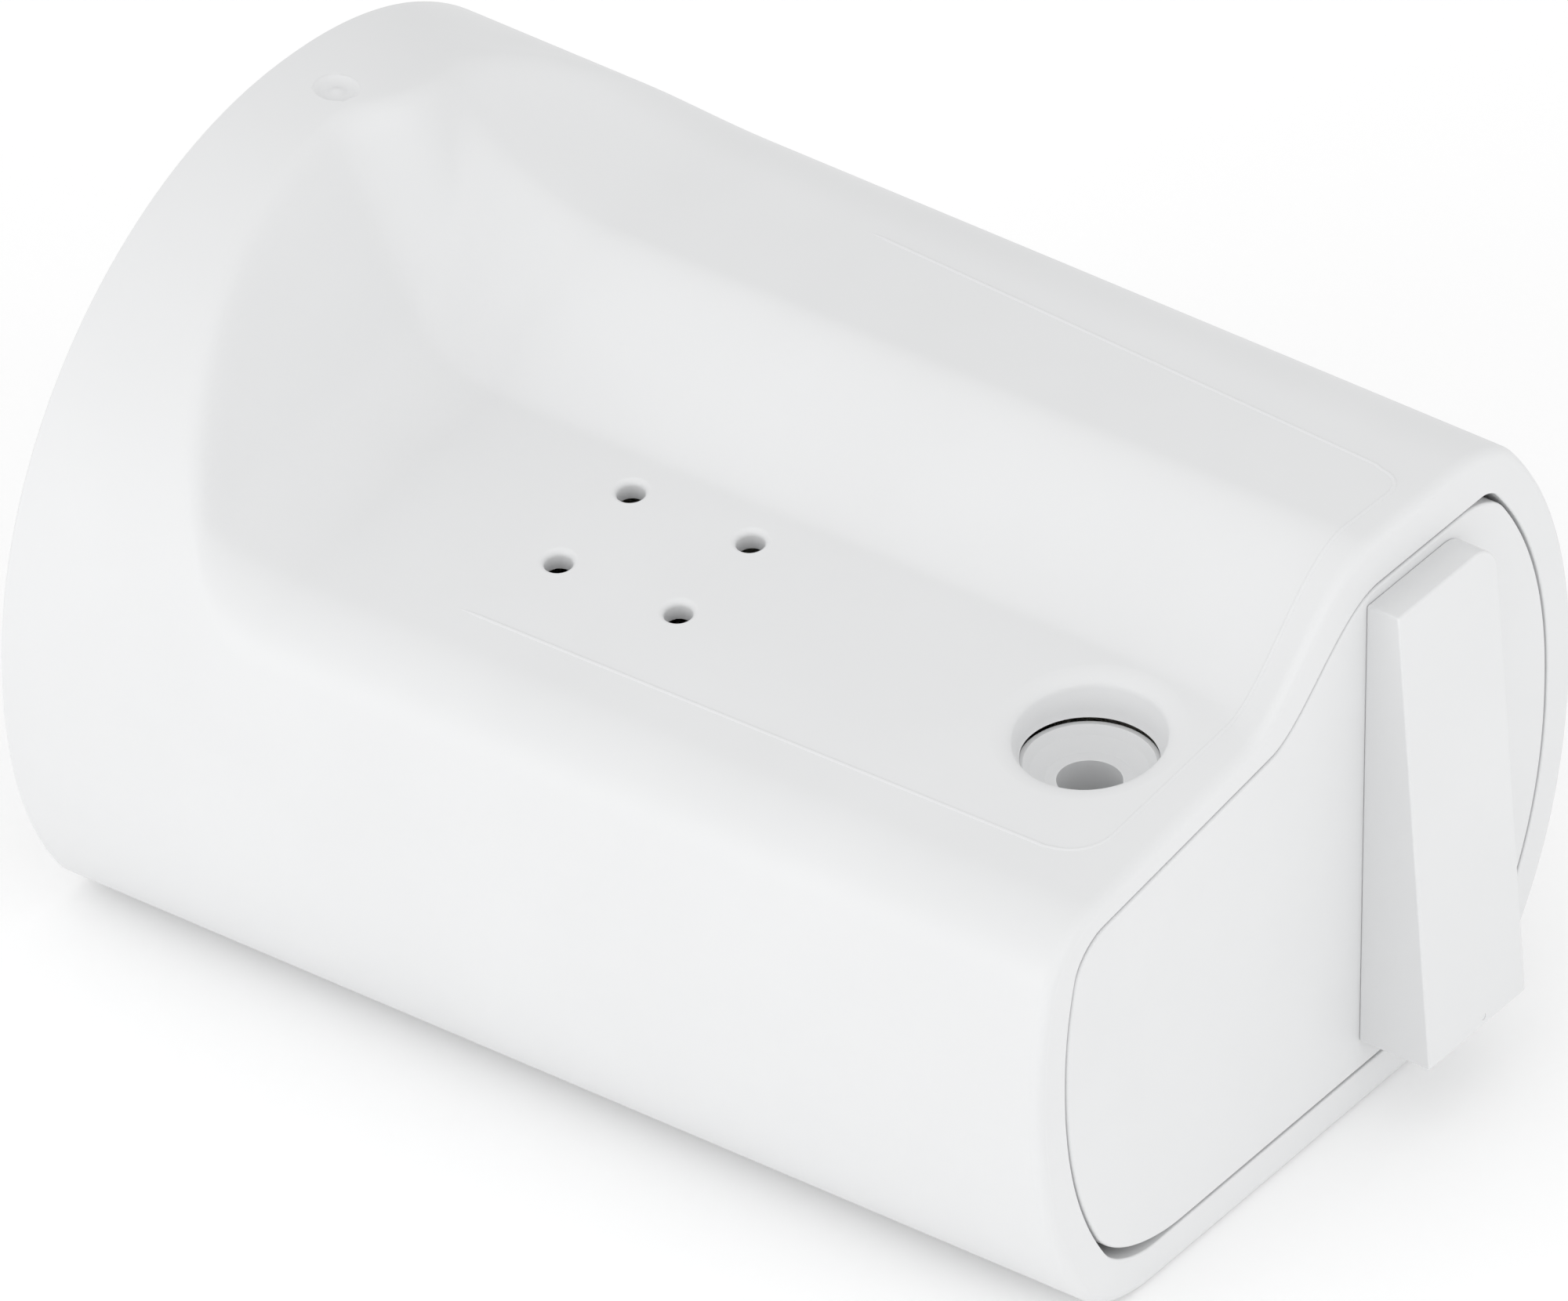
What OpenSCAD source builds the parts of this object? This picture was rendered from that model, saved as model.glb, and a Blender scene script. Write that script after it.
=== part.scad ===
// Compact wall case for a folded fire blanket, with a pull-out drawer.
// The case lies on its flat back: +Z points away from the wall, the mouth faces -Y,
// and the tall lobe is on the +X side. The origin is the middle of the outer box, on the back.

/* [Case] */
// Length of the case from the mouth to the rear edge
case_len = 180; // [140:1:240]
// Radius of the round body at the mouth
body_r = 65.6; // [58:0.2:90]
// Growth of that radius from mouth to rear, so that the core draws out
body_taper = 1.4; // [0.5:0.1:4]
// Height of the body's centre line above the flat back
centre_h = 48; // [44:0.5:56]
// Height of the low shelf above the back, at the ramp's foot
shelf_h = 79.8; // [74:0.2:86]
// Fall of the shelf and of the mouth under it, per millimetre towards the side
shelf_fall = 0.13; // [0:0.01:0.2]
// Height of the flat on the tall lobe above the back
lobe_h = 98.2; // [92:0.2:112]
// Thickness of the moulded wall
wall_t = 3; // [2:0.1:4]
// Thickness of the flat floor that lies on the wall
floor_t = 4; // [3:0.1:5]
// Rounding of the mouth's outer edge
edge_r = 1.2; // [0.5:0.1:2.5]

/* [Ramp and scoop] */
// Where the ramp leaves the shelf, from the centre line
ramp_foot_x = -8.5; // [-12:0.5:-4]
// Where the ramp reaches the lobe's flat, from the centre line
ramp_top_x = 14.5; // [10:0.5:20]
// How much further out the ramp's foot starts at the mouth itself
ramp_flare = 8.5; // [0:0.5:10]
// Distance over which that flare fades, going back from the mouth
ramp_flare_len = 7; // [2:0.5:15]
// Distance from the scoop's start to the rear edge, on the shelf
scoop_back = 43.5; // [36:0.5:60]
// Radius of the scoop's sweep on the shelf
scoop_r = 16.5; // [8:0.5:30]
// Distance from the scoop's start to the rear edge, on the lobe
lobe_scoop_back = 50; // [44:0.5:60]
// Radius of the scoop's sweep on the lobe
lobe_scoop_r = 37; // [20:1:50]
// Steepest slope of the scoop
scoop_angle = 62; // [40:1:70]

/* [Mouth] */
// Rim width at the sides
rim_side = 6.5; // [4.5:0.1:9]
// Rim width at the floor
rim_floor = 6.5; // [5.5:0.1:9]
// Rim width under the shelf
rim_shelf = 4.9; // [3.5:0.1:7]
// Rim width at the top of the lobe
rim_lobe = 8.4; // [5:0.1:12]
// Depth of the rim before the cavity widens
rim_depth = 8; // [5:0.5:14]

/* [Vents and dimple] */
// Diameter of each vent
vent_d = 4.4; // [2:0.1:6]
// Width of the rounded lip of a vent beyond its bore
vent_lip = 0.65; // [0.2:0.05:1]
// Spacing of the four vents, across the case
vent_pitch_x = 17.3; // [12:0.1:20]
// Spacing of the four vents, along the case
vent_pitch_y = 20.9; // [12:0.1:24]
// Middle of the vents, from the centre line
vent_x = -23.4; // [-28:0.1:-20]
// Middle of the vents, from the mouth
vent_back = 96.6; // [70:0.1:120]
// Diameter of the dimple on the crown
dimple_d = 6.7; // [4:0.1:9]
// Distance of the dimple from the rear edge
dimple_back = 10.5; // [6:0.5:14]

/* [Screw post] */
// Middle of the post, from the centre line
post_x = -23; // [-26:0.5:-20]
// Middle of the post, from the mouth
post_back = 21.7; // [20:0.1:40]
// Diameter of the recess at the shelf
funnel_top_d = 26.5; // [24:0.5:28]
// Diameter of the recess where it meets the post's cup
funnel_low_d = 19.8; // [16:0.2:22]
// Depth of the recess in the shelf
funnel_depth = 4.8; // [4.5:0.1:8]
// Depth of the post's dished cup
cup_dish = 2.9; // [1.5:0.1:4]
// Diameter of the post's shaft
post_d = 14; // [12.5:0.1:17]
// Diameter of the bore for a screwdriver and the wall screw's head
access_d = 9.4; // [8:0.1:10]
// Diameter of the hole for the wall screw
wall_hole_d = 5.5; // [3.5:0.1:6]
// Thickness of the seat under the wall screw's head, above the floor
seat_t = 2.4; // [1.5:0.1:2.4]
// Diameter of the ring nut that holds the post to the floor
nut_d = 20; // [17:0.5:24]
// Thickness of the ring nut
nut_t = 1.8; // [1.2:0.1:2.2]

/* [Drawer] */
// Thickness of the closure panel
panel_t = 4; // [3:0.1:5]
// Thickness of the drawer's floor
tray_t = 1.8; // [1.2:0.1:2.4]
// Thickness of the drawer's walls
tray_wall_t = 1.5; // [1:0.1:2.2]
// Height of the bin's walls above the drawer's floor
bin_h = 30; // [15:1:45]
// Height of the drawer's front and left walls above its floor
lip_h = 14; // [8:0.5:18]
// How far the drawer slides out
travel = 125; // [60:1:140]
// Thickness of the low-friction strips under the drawer
strip_t = 1; // [0.6:0.1:1.4]
// Thickness of the runner rails
rail_t = 1.5; // [1:0.1:2]
// Width of the rails' screw flanges
rail_w = 7; // [6:0.2:7.4]

/* [Grip] */
// Left edge of the wedge grip, from the centre line
grip_x = 13; // [8:0.5:20]
// Width of the grip
grip_w = 24; // [16:0.5:26]
// Height of the grip's bottom above the back
grip_low = 12; // [10:0.5:20]
// Height of the grip's top above the back
grip_high = 87.6; // [70:0.2:90]
// How far the grip stands out at its top
grip_out_top = 5.5; // [3:0.1:8]
// How far the grip stands out at its bottom
grip_out_low = 12.2; // [8:0.1:16]

/* [Blanket] */
// Length of the folded blanket, along the case
pack_len = 143; // [110:1:150]
// Height of the folded blanket
pack_h = 61; // [40:1:63]
// Width of each hand tape
tape_w = 18; // [12:0.5:20]
// Thickness of each hand tape, doubled
tape_t = 1.8; // [1:0.1:2]
// Diameter of the bar that the tapes hang on
bar_d = 3; // [2:0.1:4]

/* [Fasteners] */
// Shaft diameter of the small screws
screw_d = 2.9; // [2.2:0.1:3]
// Head diameter of the small screws
screw_head_d = 5.4; // [4.5:0.1:6]
// Head height of the small screws
screw_head_h = 1.9; // [1.2:0.1:2.2]
// Diameter of the rear cover's screw bosses
boss_d = 8; // [7:0.5:10]
// Diameter of the rubber bumpers
bumper_d = 8; // [5:0.5:10]
// Length of the rubber bumpers
bumper_len = 3.5; // [2:0.5:6]
// Width of the catch spring
spring_w = 8; // [5:0.5:10]
// Thickness of the catch spring
spring_t = 0.5; // [0.3:0.05:0.6]

/* [Clearances] */
// Gap between the closure panel and the mouth
panel_gap = 0.45; // [0.3:0.05:0.8]
// Gap on each side of a sliding piece
slide_gap = 0.4; // [0.3:0.05:0.5]
// Gap around the rear cover
cover_gap = 0.3; // [0.1:0.05:0.6]
// Gap between a screw's thread and its pilot hole, on the radius
thread_gap = 0.03; // [0.01:0.01:0.1]
// Gap between a screw's shaft and a clearance hole, on the radius
pass_gap = 0.25; // [0.1:0.05:0.4]
// Gap around the folded blanket and its tapes
soft_gap = 0.5; // [0.3:0.1:1.5]
// Gap between the recess in the shelf and the post's cup
cup_gap = 0.8; // [0.4:0.1:1.2]

/* [Hidden] */

shell_white = "#f4f4f2";
inner_white = "#e9e9e6";
steel = "#b9bcc0";
rubber_black = "#2b2b2b";
strip_cream = "#efe9da";
glass_cloth = "#e8e2d2";
webbing_red = "#b5352c";

steps = 96;              // points round each section
mouth_y = grip_out_low - (case_len + grip_out_low) / 2;
eps = 0.01;

// Section fillets: the first value of each pair is on the shelf side, the second on the lobe side.
base_blend = 6;
inner_base_blend = 2;
mouth_base_blend = 5.5;
panel_base_blend = 9;
top_blend = [7.5, 5.5];
mouth_top_blend = [4.5, 1.6];
panel_top_blend = [5, 4.2];
scoop_blend = 2;
scoop_turn = [0, 20];              // where the shelf's scoop turns into the lobe's
squareness = [2.03, 2.14, 2.19];   // of the body's upper left, upper right and lower part

// ---------- section of the case ----------

function clamp01(t) = max(0, min(1, t));
function ease(t) = let (c = clamp01(t)) c * c * (3 - 2 * c);
function mix(a, b, t) = a + (b - a) * t;

// Rounded minimum of two depths: the corner between their surfaces gets a fillet.
function blend(a, b, r) = (a < r && b < r) ? r - norm([r - a, r - b]) : min(a, b);

// Radius of the round body at a depth behind the mouth.
function radius_at(u) = body_r + body_taper * u / case_len;

// Depth under the round body.
function body_depth(x, z, r) =
    let (n = z < centre_h ? squareness[2] : x < 0 ? squareness[0] : squareness[1])
    r - pow(pow(abs(x), n) + pow(abs(z - centre_h), n), 1 / n);

// Rise of the scoop at the rear: an arc, and then a straight slope. It is gentler on the lobe.
function scoop_rise(x, u) =
    let (s = ease((x - scoop_turn[0]) / (scoop_turn[1] - scoop_turn[0])))
    let (r = mix(scoop_r, lobe_scoop_r, s))
    let (d = max(0, u - case_len + mix(scoop_back, lobe_scoop_back, s)))
    let (arc = min(d, r * sin(scoop_angle)))
    r - sqrt(r * r - arc * arc) + (d - arc) * tan(scoop_angle);

// Height of the stepped top: the sloping shelf, the ramp and the lobe.
function shelf_at(x) = shelf_h + shelf_fall * (x - ramp_foot_x);
function foot_at(u) = ramp_foot_x - ramp_flare * exp(-u / ramp_flare_len);
function step_top(x, u) =
    mix(shelf_at(x), lobe_h, ease((x - foot_at(u)) / (ramp_top_x - foot_at(u))));
function top_height(x, u) = step_top(x, u) + scoop_rise(x, u);
function slope_x(x, u) = (top_height(x + eps, u) - top_height(x - eps, u)) / (2 * eps);
function slope_u(x, u) = (top_height(x, u + eps) - top_height(x, u - eps)) / (2 * eps);
function top_depth(x, z, u) =
    (top_height(x, u) - z) / norm([1, slope_x(x, u), slope_u(x, u)]);

// Depth inside the case's skin, pulled in by off, with a floor at floor_z.
function case_depth(x, z, u, off, floor_z, low_blend) =
    let (lifted = clamp01(scoop_rise(x, u) / 6))
    let (corner = mix(x < 0 ? top_blend[0] : top_blend[1], scoop_blend, lifted))
    blend(
        blend(body_depth(x, z, radius_at(u) - off), z - floor_z, low_blend),
        top_depth(x, z, u) - off,
        corner
    );

// The mouth's edge has its own stepped top, and the closure panel follows it with a gap.
function mouth_top(x) =
    mix(shelf_at(x) - rim_shelf, lobe_h - rim_lobe,
        ease((x - ramp_foot_x + 1.5) / (ramp_top_x - ramp_foot_x + 3)));
function mouth_slope(x) = (mouth_top(x + eps) - mouth_top(x - eps)) / (2 * eps);
function mouth_depth(x, z, gap, low_blend, corners) =
    blend(
        blend(body_depth(x, z, body_r - rim_side - gap), z - rim_floor - gap, low_blend),
        (mouth_top(x) - z) / norm([1, mouth_slope(x)]) - gap,
        x < 0 ? corners[0] : corners[1]
    );

// Kinds of section that the ring functions can follow.
OUTER = 0;
INNER = 1;
MOUTH = 2;
PANEL = 3;
function depth_at(kind, x, z, u, off) =
    kind == OUTER ? case_depth(x, z, u, off, off, base_blend)
    : kind == INNER ? case_depth(x, z, u, wall_t + off, floor_t + off, inner_base_blend)
    : kind == MOUTH ? mouth_depth(x, z, off, mouth_base_blend, mouth_top_blend)
    : mouth_depth(x, z, panel_gap + off, panel_base_blend, panel_top_blend);

// Distance from the centre line to the skin in direction a, by halving.
function reach(kind, a, u, off, low, high, n) =
    n == 0 ? (low + high) / 2
    : let (m = (low + high) / 2)
      depth_at(kind, m * cos(a), centre_h + m * sin(a), u, off) > 0
        ? reach(kind, a, u, off, m, high, n - 1)
        : reach(kind, a, u, off, low, m, n - 1);

function ring(kind, u, off) = [
    for (i = [0 : steps - 1])
        let (a = 360 * i / steps)
        let (r = reach(kind, a, u, off, 10, 2 * body_r, 18))
        [r * cos(a), u + mouth_y, centre_h + r * sin(a)]
];
function outline(kind, u, off) = [for (p = ring(kind, u, off)) [p[0], p[2]]];

// Faces of a tube whose rings close on themselves.
function loop_faces(count) = [
    for (k = [0 : count - 1])
        for (i = [0 : steps - 1])
            let (j = (i + 1) % steps)
            let (here = k * steps)
            let (next = ((k + 1) % count) * steps)
            each [
                [here + i, next + j, next + i],
                [here + i, here + j, next + j]
            ]
];

// ---------- shared helpers ----------

// Puts a flat outline in XZ at depth u behind the mouth, and gives it a thickness.
module slab(u, t) {
    translate([0, mouth_y + u + t, 0])
        rotate([90, 0, 0])
            linear_extrude(height = t)
                children();
}

// A cylinder along Y, from depth u, towards the rear.
module rod_y(x, u, z, len, d) {
    translate([x, mouth_y + u, z])
        rotate([-90, 0, 0])
            cylinder(h = len, d = d, $fn = 48);
}

module block(x0, x1, u0, u1, z0, z1) {
    translate([x0, mouth_y + u0, z0])
        cube([x1 - x0, u1 - u0, z1 - z0]);
}

// A small pan-head screw along Z, with its head's underside at the origin.
module pan_screw(len) {
    difference() {
        union() {
            translate([0, 0, -len]) cylinder(h = len, d = screw_d, $fn = 32);
            cylinder(h = screw_head_h, d = screw_head_d, $fn = 32);
        }
        cross_slot(screw_head_h);
    }
}

// A countersunk screw along Z, with its head's top at the origin.
module flat_screw(len) {
    head_h = (screw_head_d - screw_d) / 2;
    difference() {
        rotate_extrude($fn = 32)
            polygon([
                [0, -len], [screw_d / 2, -len], [screw_d / 2, -head_h],
                [screw_head_d / 2, 0], [0, 0]
            ]);
        cross_slot(0);
    }
}

module cross_slot(top) {
    slot_w = 0.8;
    slot_len = 3;
    slot_depth = 1;
    for (a = [0, 90])
        rotate([0, 0, a])
            translate([-slot_len / 2, -slot_w / 2, top - slot_depth])
                cube([slot_len, slot_w, slot_depth + 1]);
}

module flat_seat(len) {
    head_h = (screw_head_d - screw_d) / 2;
    rotate_extrude($fn = 32)
        polygon([
            [0, -len], [screw_d / 2 + pass_gap, -len], [screw_d / 2 + pass_gap, -head_h - eps],
            [screw_head_d / 2 + pass_gap, 0.02], [screw_head_d / 2 + pass_gap, 1], [0, 1]
        ]);
}

// ---------- heights and places that pieces share ----------

rail_web_t = rim_floor - floor_t;
strip_z = rim_floor + slide_gap;
tray_z = strip_z + strip_t;
tray_top = tray_z + tray_t;
rail_lip_z = tray_top + slide_gap;

// Half width of the inner floor, and from it the rails and the drawer.
floor_half = sqrt(pow(body_r - wall_t, 2) - pow(centre_h - floor_t, 2));
rail_side_room = 4.4;     // to the case's curved wall
rail_lip_w = 2;           // how far the rail's lip covers the drawer's edge
rail_out = floor_half - rail_side_room;
rail_in = rail_out - rail_w;
tray_half = rail_out - rail_t - slide_gap - 0.1;
rail_lip_in = tray_half - rail_lip_w;
tray_in = rail_lip_in - slide_gap;

rail_front = rim_depth + 1;
rail_screw_x = rail_in + rail_w / 2 - 0.4;

// The bin stands beside the post's cup.
cup_overlap = 1.4;        // the cup's rim is this much wider than the recess above it
cup_d = funnel_low_d + cup_overlap;
bin_left = post_x + cup_d / 2 + 2 * slide_gap + 0.2;
bin_side_room = 17.1;     // from the bin's wall to the round body's widest place
bin_right = body_r - bin_side_room;
flare_z = tray_top + 16;  // where the bin's outer wall turns upright
pack_low = tray_top + soft_gap / 2;
pack_front = panel_t + tape_t + 4.6;
tray_back = pack_front + pack_len + soft_gap;
tray_end = tray_back + tray_wall_t;
rail_back = tray_end + 4.6;
stop_gap = 0.3;
lug_u = rim_depth + travel + stop_gap;
lug_t = 3;

slot_half = post_d / 2 + 0.6;
shelf_tilt = atan(shelf_fall);
post_shelf = shelf_at(post_x);            // height of the shelf over the post
post_top = post_shelf - funnel_depth - cup_gap;
cup_low = post_top - cup_dish;
post_foot_r = post_d / 2 + 2;
post_y = mouth_y + post_back;
nut_gap = 0.3;
spigot_wall = 3.15;
spigot_d = wall_hole_d + 2 * spigot_wall;

// Screws
grip_screw_x = grip_x + grip_w / 2;
grip_screw_z = [grip_low + 20, grip_high - 16];
grip_bite = 4.2;
tray_screw_z = tray_top + lip_h / 2;
tray_screw_x = [-tray_in + 7, 0, tray_in - 7];
tray_bite = 3;
rail_screw_u = [rail_front + 36, rail_back - 14];
rail_bite = 2.6;
spring_bite = 2.8;
cover_t = 3;
cover_u = case_len - cover_t - 5;
cover_bite = 6;
boss_len = 9;
boss_sink = 3.2;          // from a boss's middle to the wall that it grows from
boss_at = [
    for (a = [40, 140])
        let (r = reach(INNER, a, cover_u, boss_sink, 10, 2 * body_r, 18))
        [r * cos(a), centre_h + r * sin(a)]
];
low_boss_at = [for (s = [-1, 1]) [s * (rail_in - boss_d / 2 - 1), floor_t + boss_sink + 0.5]];
cover_screw_at = concat(boss_at, low_boss_at);

bumper_z = tray_top + bin_h / 2;
bumper_x = [bin_left + 9, tray_in - 6];

bumper_stud_d = 3;
bumper_stud_len = 4;

spring_x = 8;
spring_u = 62;
spring_len = 46;
spring_tip = 2;           // flat end beyond the bump
bump_len = 8;
bump_h = 0.6;
bump_at = spring_len - spring_tip - bump_len;

bar_z = 66;
bar_u = panel_t + 3.6;
bar_ends = [bin_left + 1, bin_right - 3];
lug_w = 2.5;

// ---------- case ----------

scoop_from = case_len - max(scoop_back, lobe_scoop_back);
shell_rings = concat(
    [ring(OUTER, 0, edge_r), ring(OUTER, 0.3 * edge_r, 0.3 * edge_r), ring(OUTER, edge_r, 0)],
    [for (u = [8, 16, 28]) ring(OUTER, u, 0)],
    [for (k = [0 : 16]) ring(OUTER, scoop_from + 2.1 * k, 0)],
    [ring(OUTER, case_len - 8, 0), ring(OUTER, case_len, 0)],
    [ring(INNER, case_len, 0), ring(INNER, case_len - 8, 0)],
    [for (k = [9 : -1 : 0]) ring(INNER, scoop_from + 3.6 * k, 0)],
    [for (u = [28, 16, rim_depth]) ring(INNER, u, 0)],
    [ring(MOUTH, rim_depth, 0), ring(MOUTH, 0, 0)]
);

module tube(rings) {
    polyhedron(points = [for (r = rings) each r], faces = loop_faces(len(rings)), convexity = 8);
}

// Puts a shape on the sloping shelf at a place, square to its surface.
module on_shelf(x, back) {
    translate([x, mouth_y + back, shelf_at(x)])
        rotate([0, -shelf_tilt, 0])
            children();
}

// Bowl-shaped recess in the shelf, round which the wall turns down to meet the post's cup.
module funnel_cut() {
    top_r = funnel_top_d / 2;
    low_r = funnel_low_d / 2;
    lip = 1.1;
    on_shelf(post_x, post_back)
        rotate_extrude($fn = 96)
            polygon([
                [0, -funnel_depth - 4], [low_r, -funnel_depth - 4], [low_r, -funnel_depth],
                [low_r + 0.5, -funnel_depth * 0.6], [top_r - lip, -lip], [top_r, 0],
                [top_r, 2], [0, 2]
            ]);
}

// Collar under the recess. Its top lies in the sloping wall of the shelf.
module recess_collar() {
    collar_wall = 2.6;
    r = funnel_low_d / 2 + collar_wall;
    room = 2 * r;
    intersection() {
        translate([post_x, post_y, post_shelf - funnel_depth])
            cylinder(h = funnel_depth + room, r = r, $fn = 96);
        on_shelf(post_x, post_back)
            translate([-room, -room, -wall_t / 2 - room])
                cube([2 * room, 2 * room, room]);
    }
}

module vent_cut() {
    r = vent_d / 2;
    for (i = [-1, 1], j = [-1, 1])
        on_shelf(vent_x + i * vent_pitch_x / 2, vent_back + j * vent_pitch_y / 2)
            rotate_extrude($fn = 48)
                polygon([
                    [0, -wall_t - 2], [r, -wall_t - 2], [r, -1.5 * vent_lip],
                    [r + 0.35 * vent_lip, -0.4 * vent_lip], [r + vent_lip, 0], [r + vent_lip, 1], [0, 1]
                ]);
}

// Shallow moulded dimple on the crown, with a pip in its middle.
module dimple_cut() {
    u = case_len - dimple_back;
    crown = centre_h + radius_at(u);
    pip_r = 1;
    translate([0, mouth_y + u, crown])
        rotate_extrude($fn = 48)
            polygon([
                [pip_r, -0.35], [pip_r + 0.3, -0.6], [dimple_d / 2 - 0.6, -0.6], [dimple_d / 2, 1], [0, 1],
                [0, -0.35]
            ]);
}

module case_shell() {
    pilot_len = cover_bite + 1;
    color(shell_white)
        difference() {
            union() {
                tube(shell_rings);
                recess_collar();
                for (p = cover_screw_at)
                    rod_y(p[0], cover_u - boss_len, p[1], boss_len, boss_d);
            }
            funnel_cut();
            vent_cut();
            dimple_cut();
            translate([post_x, post_y, -1])
                cylinder(h = floor_t + 2, d = spigot_d + 0.2, $fn = 64);
            translate([post_x, post_y, -1])
                cylinder(h = 1 + nut_gap + nut_t, d = nut_d + 1, $fn = 64);
            for (p = cover_screw_at)
                rod_y(p[0], cover_u - pilot_len, p[1], pilot_len + 1, screw_d + 2 * thread_gap);
            for (s = [-1, 1], u = rail_screw_u)
                translate([s * rail_screw_x, mouth_y + u, 1])
                    cylinder(h = floor_t, d = screw_d + 2 * thread_gap, $fn = 32);
            translate([spring_x, mouth_y + spring_u, 1])
                cylinder(h = floor_t, d = screw_d + 2 * thread_gap, $fn = 32);
        }
}

module rear_cover() {
    stand_u = tray_end + slide_gap + bumper_len;
    color(shell_white)
        difference() {
            union() {
                slab(cover_u, cover_t)
                    polygon(outline(INNER, cover_u, cover_gap));
                for (x = bumper_x)
                    rod_y(x, stand_u, bumper_z, cover_u - stand_u + 0.5, bumper_d);
            }
            for (p = cover_screw_at)
                rod_y(p[0], cover_u - 1, p[1], cover_t + 2, screw_d + 2 * pass_gap);
            for (x = bumper_x)
                rod_y(x, stand_u - 1, bumper_z, bumper_stud_len + 2, bumper_stud_d + 0.1);
        }
}

module rear_cover_screws() {
    color(steel)
        for (p = cover_screw_at)
            translate([p[0], mouth_y + cover_u + cover_t, p[1]])
                rotate([-90, 0, 0])
                    pan_screw(cover_t + cover_bite);
}

module stop_bumper(x) {
    color(rubber_black)
        union() {
            rod_y(x, tray_end + slide_gap, bumper_z, bumper_len, bumper_d);
            rod_y(x, tray_end + slide_gap + bumper_len - eps, bumper_z, bumper_stud_len, bumper_stud_d);
        }
}

module stop_bumper_left() {
    stop_bumper(bumper_x[0]);
}

module stop_bumper_right() {
    stop_bumper(bumper_x[1]);
}

// Hollow post under the shelf: a dished cup, a bore for the screwdriver, and a seat for the wall screw.
module screw_post() {
    cup_r = cup_d / 2;
    bore_r = access_d / 2;
    shaft_r = post_d / 2;
    foot_top = floor_t + seat_t;
    color(shell_white)
        translate([post_x, post_y, 0])
            rotate_extrude($fn = 96)
                polygon([
                    [wall_hole_d / 2, nut_gap], [spigot_d / 2, nut_gap], [spigot_d / 2, floor_t],
                    [post_foot_r, floor_t], [post_foot_r, foot_top - 0.4],
                    [post_foot_r - 0.4, foot_top],
                    [shaft_r, foot_top], [shaft_r, cup_low - 7], [cup_r, cup_low - 2.5],
                    [cup_r, post_top - 0.5], [cup_r - 0.5, post_top], [cup_r - 1.2, post_top],
                    [cup_r - 2.2, post_top - 1.2], [bore_r + 1.6, cup_low + 0.25], [bore_r, cup_low],
                    [bore_r, foot_top], [wall_hole_d / 2, foot_top]
                ]);
}

module post_ring_nut() {
    notch_w = 2.2;
    color(inner_white)
        translate([post_x, post_y, nut_gap])
            difference() {
                cylinder(h = nut_t, d = nut_d, $fn = 64);
                translate([0, 0, -1]) cylinder(h = nut_t + 2, d = spigot_d + 2 * thread_gap, $fn = 64);
                for (a = [0 : 90 : 270])
                    rotate([0, 0, a])
                        translate([nut_d / 2 - 1.6, -notch_w / 2, -1])
                            cube([3, notch_w, nut_t + 2]);
            }
}

// Runner on the case's floor: a screw flange, an upright, and a lip over the drawer's edge.
// The flange stays clear of the post's foot.
module runner_rail() {
    color(inner_white)
        difference() {
            union() {
                block(rail_in, rail_out, rail_front, rail_back, floor_t, floor_t + rail_web_t);
                block(rail_out - rail_t, rail_out, rail_front, rail_back, floor_t, rail_lip_z + rail_t);
                block(rail_lip_in, rail_out, rail_front, rail_back, rail_lip_z, rail_lip_z + rail_t);
            }
            for (u = rail_screw_u)
                translate([rail_screw_x, mouth_y + u, floor_t + rail_web_t])
                    flat_seat(floor_t);
            translate([-post_x, post_y, floor_t - 1])
                cylinder(h = rail_web_t + 2, r = post_foot_r + slide_gap, $fn = 64);
        }
}

module runner_rail_right() {
    runner_rail();
}

module runner_rail_left() {
    mirror([1, 0, 0]) runner_rail();
}

module rail_screws() {
    color(steel)
        for (s = [-1, 1], u = rail_screw_u)
            translate([s * rail_screw_x, mouth_y + u, floor_t + rail_web_t])
                flat_screw(rail_web_t + rail_bite);
}

// Leaf spring on the floor. Its bump stands in a window in the drawer's floor when the drawer is shut.
module catch_spring() {
    free_z = tray_z - 1.1;
    half = spring_w / 2;
    rise = tray_z + bump_h - free_z;
    color(steel)
        difference() {
            translate([spring_x - half, 0, 0])
                rotate([90, 0, 90])
                    linear_extrude(height = spring_w)
                        translate([mouth_y + spring_u, 0])
                            polygon(concat(
                                [[-6, floor_t], [6, floor_t], [bump_at - 2, free_z - spring_t]],
                                [for (k = [0 : 8])
                                    [bump_at + bump_len * k / 8, free_z - spring_t + rise * sin(180 * k / 8)]],
                                [[spring_len, free_z - spring_t - 0.4], [spring_len, free_z - 0.4]],
                                [for (k = [8 : -1 : 0])
                                    [bump_at + bump_len * k / 8, free_z + rise * sin(180 * k / 8)]],
                                [[bump_at - 2, free_z], [6, floor_t + spring_t], [-6, floor_t + spring_t]]
                            ));
            translate([spring_x, mouth_y + spring_u, floor_t - 1])
                cylinder(h = 4, d = screw_d + 2 * pass_gap, $fn = 32);
        }
}

module catch_spring_screw() {
    color(steel)
        translate([spring_x, mouth_y + spring_u, floor_t + spring_t])
            difference() {
                union() {
                    translate([0, 0, -spring_bite - spring_t])
                        cylinder(h = spring_bite + spring_t, d = screw_d, $fn = 32);
                    cylinder(h = 1.2, d = screw_head_d, $fn = 32);
                }
                cross_slot(1.4);
            }
}

// ---------- drawer ----------

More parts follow.
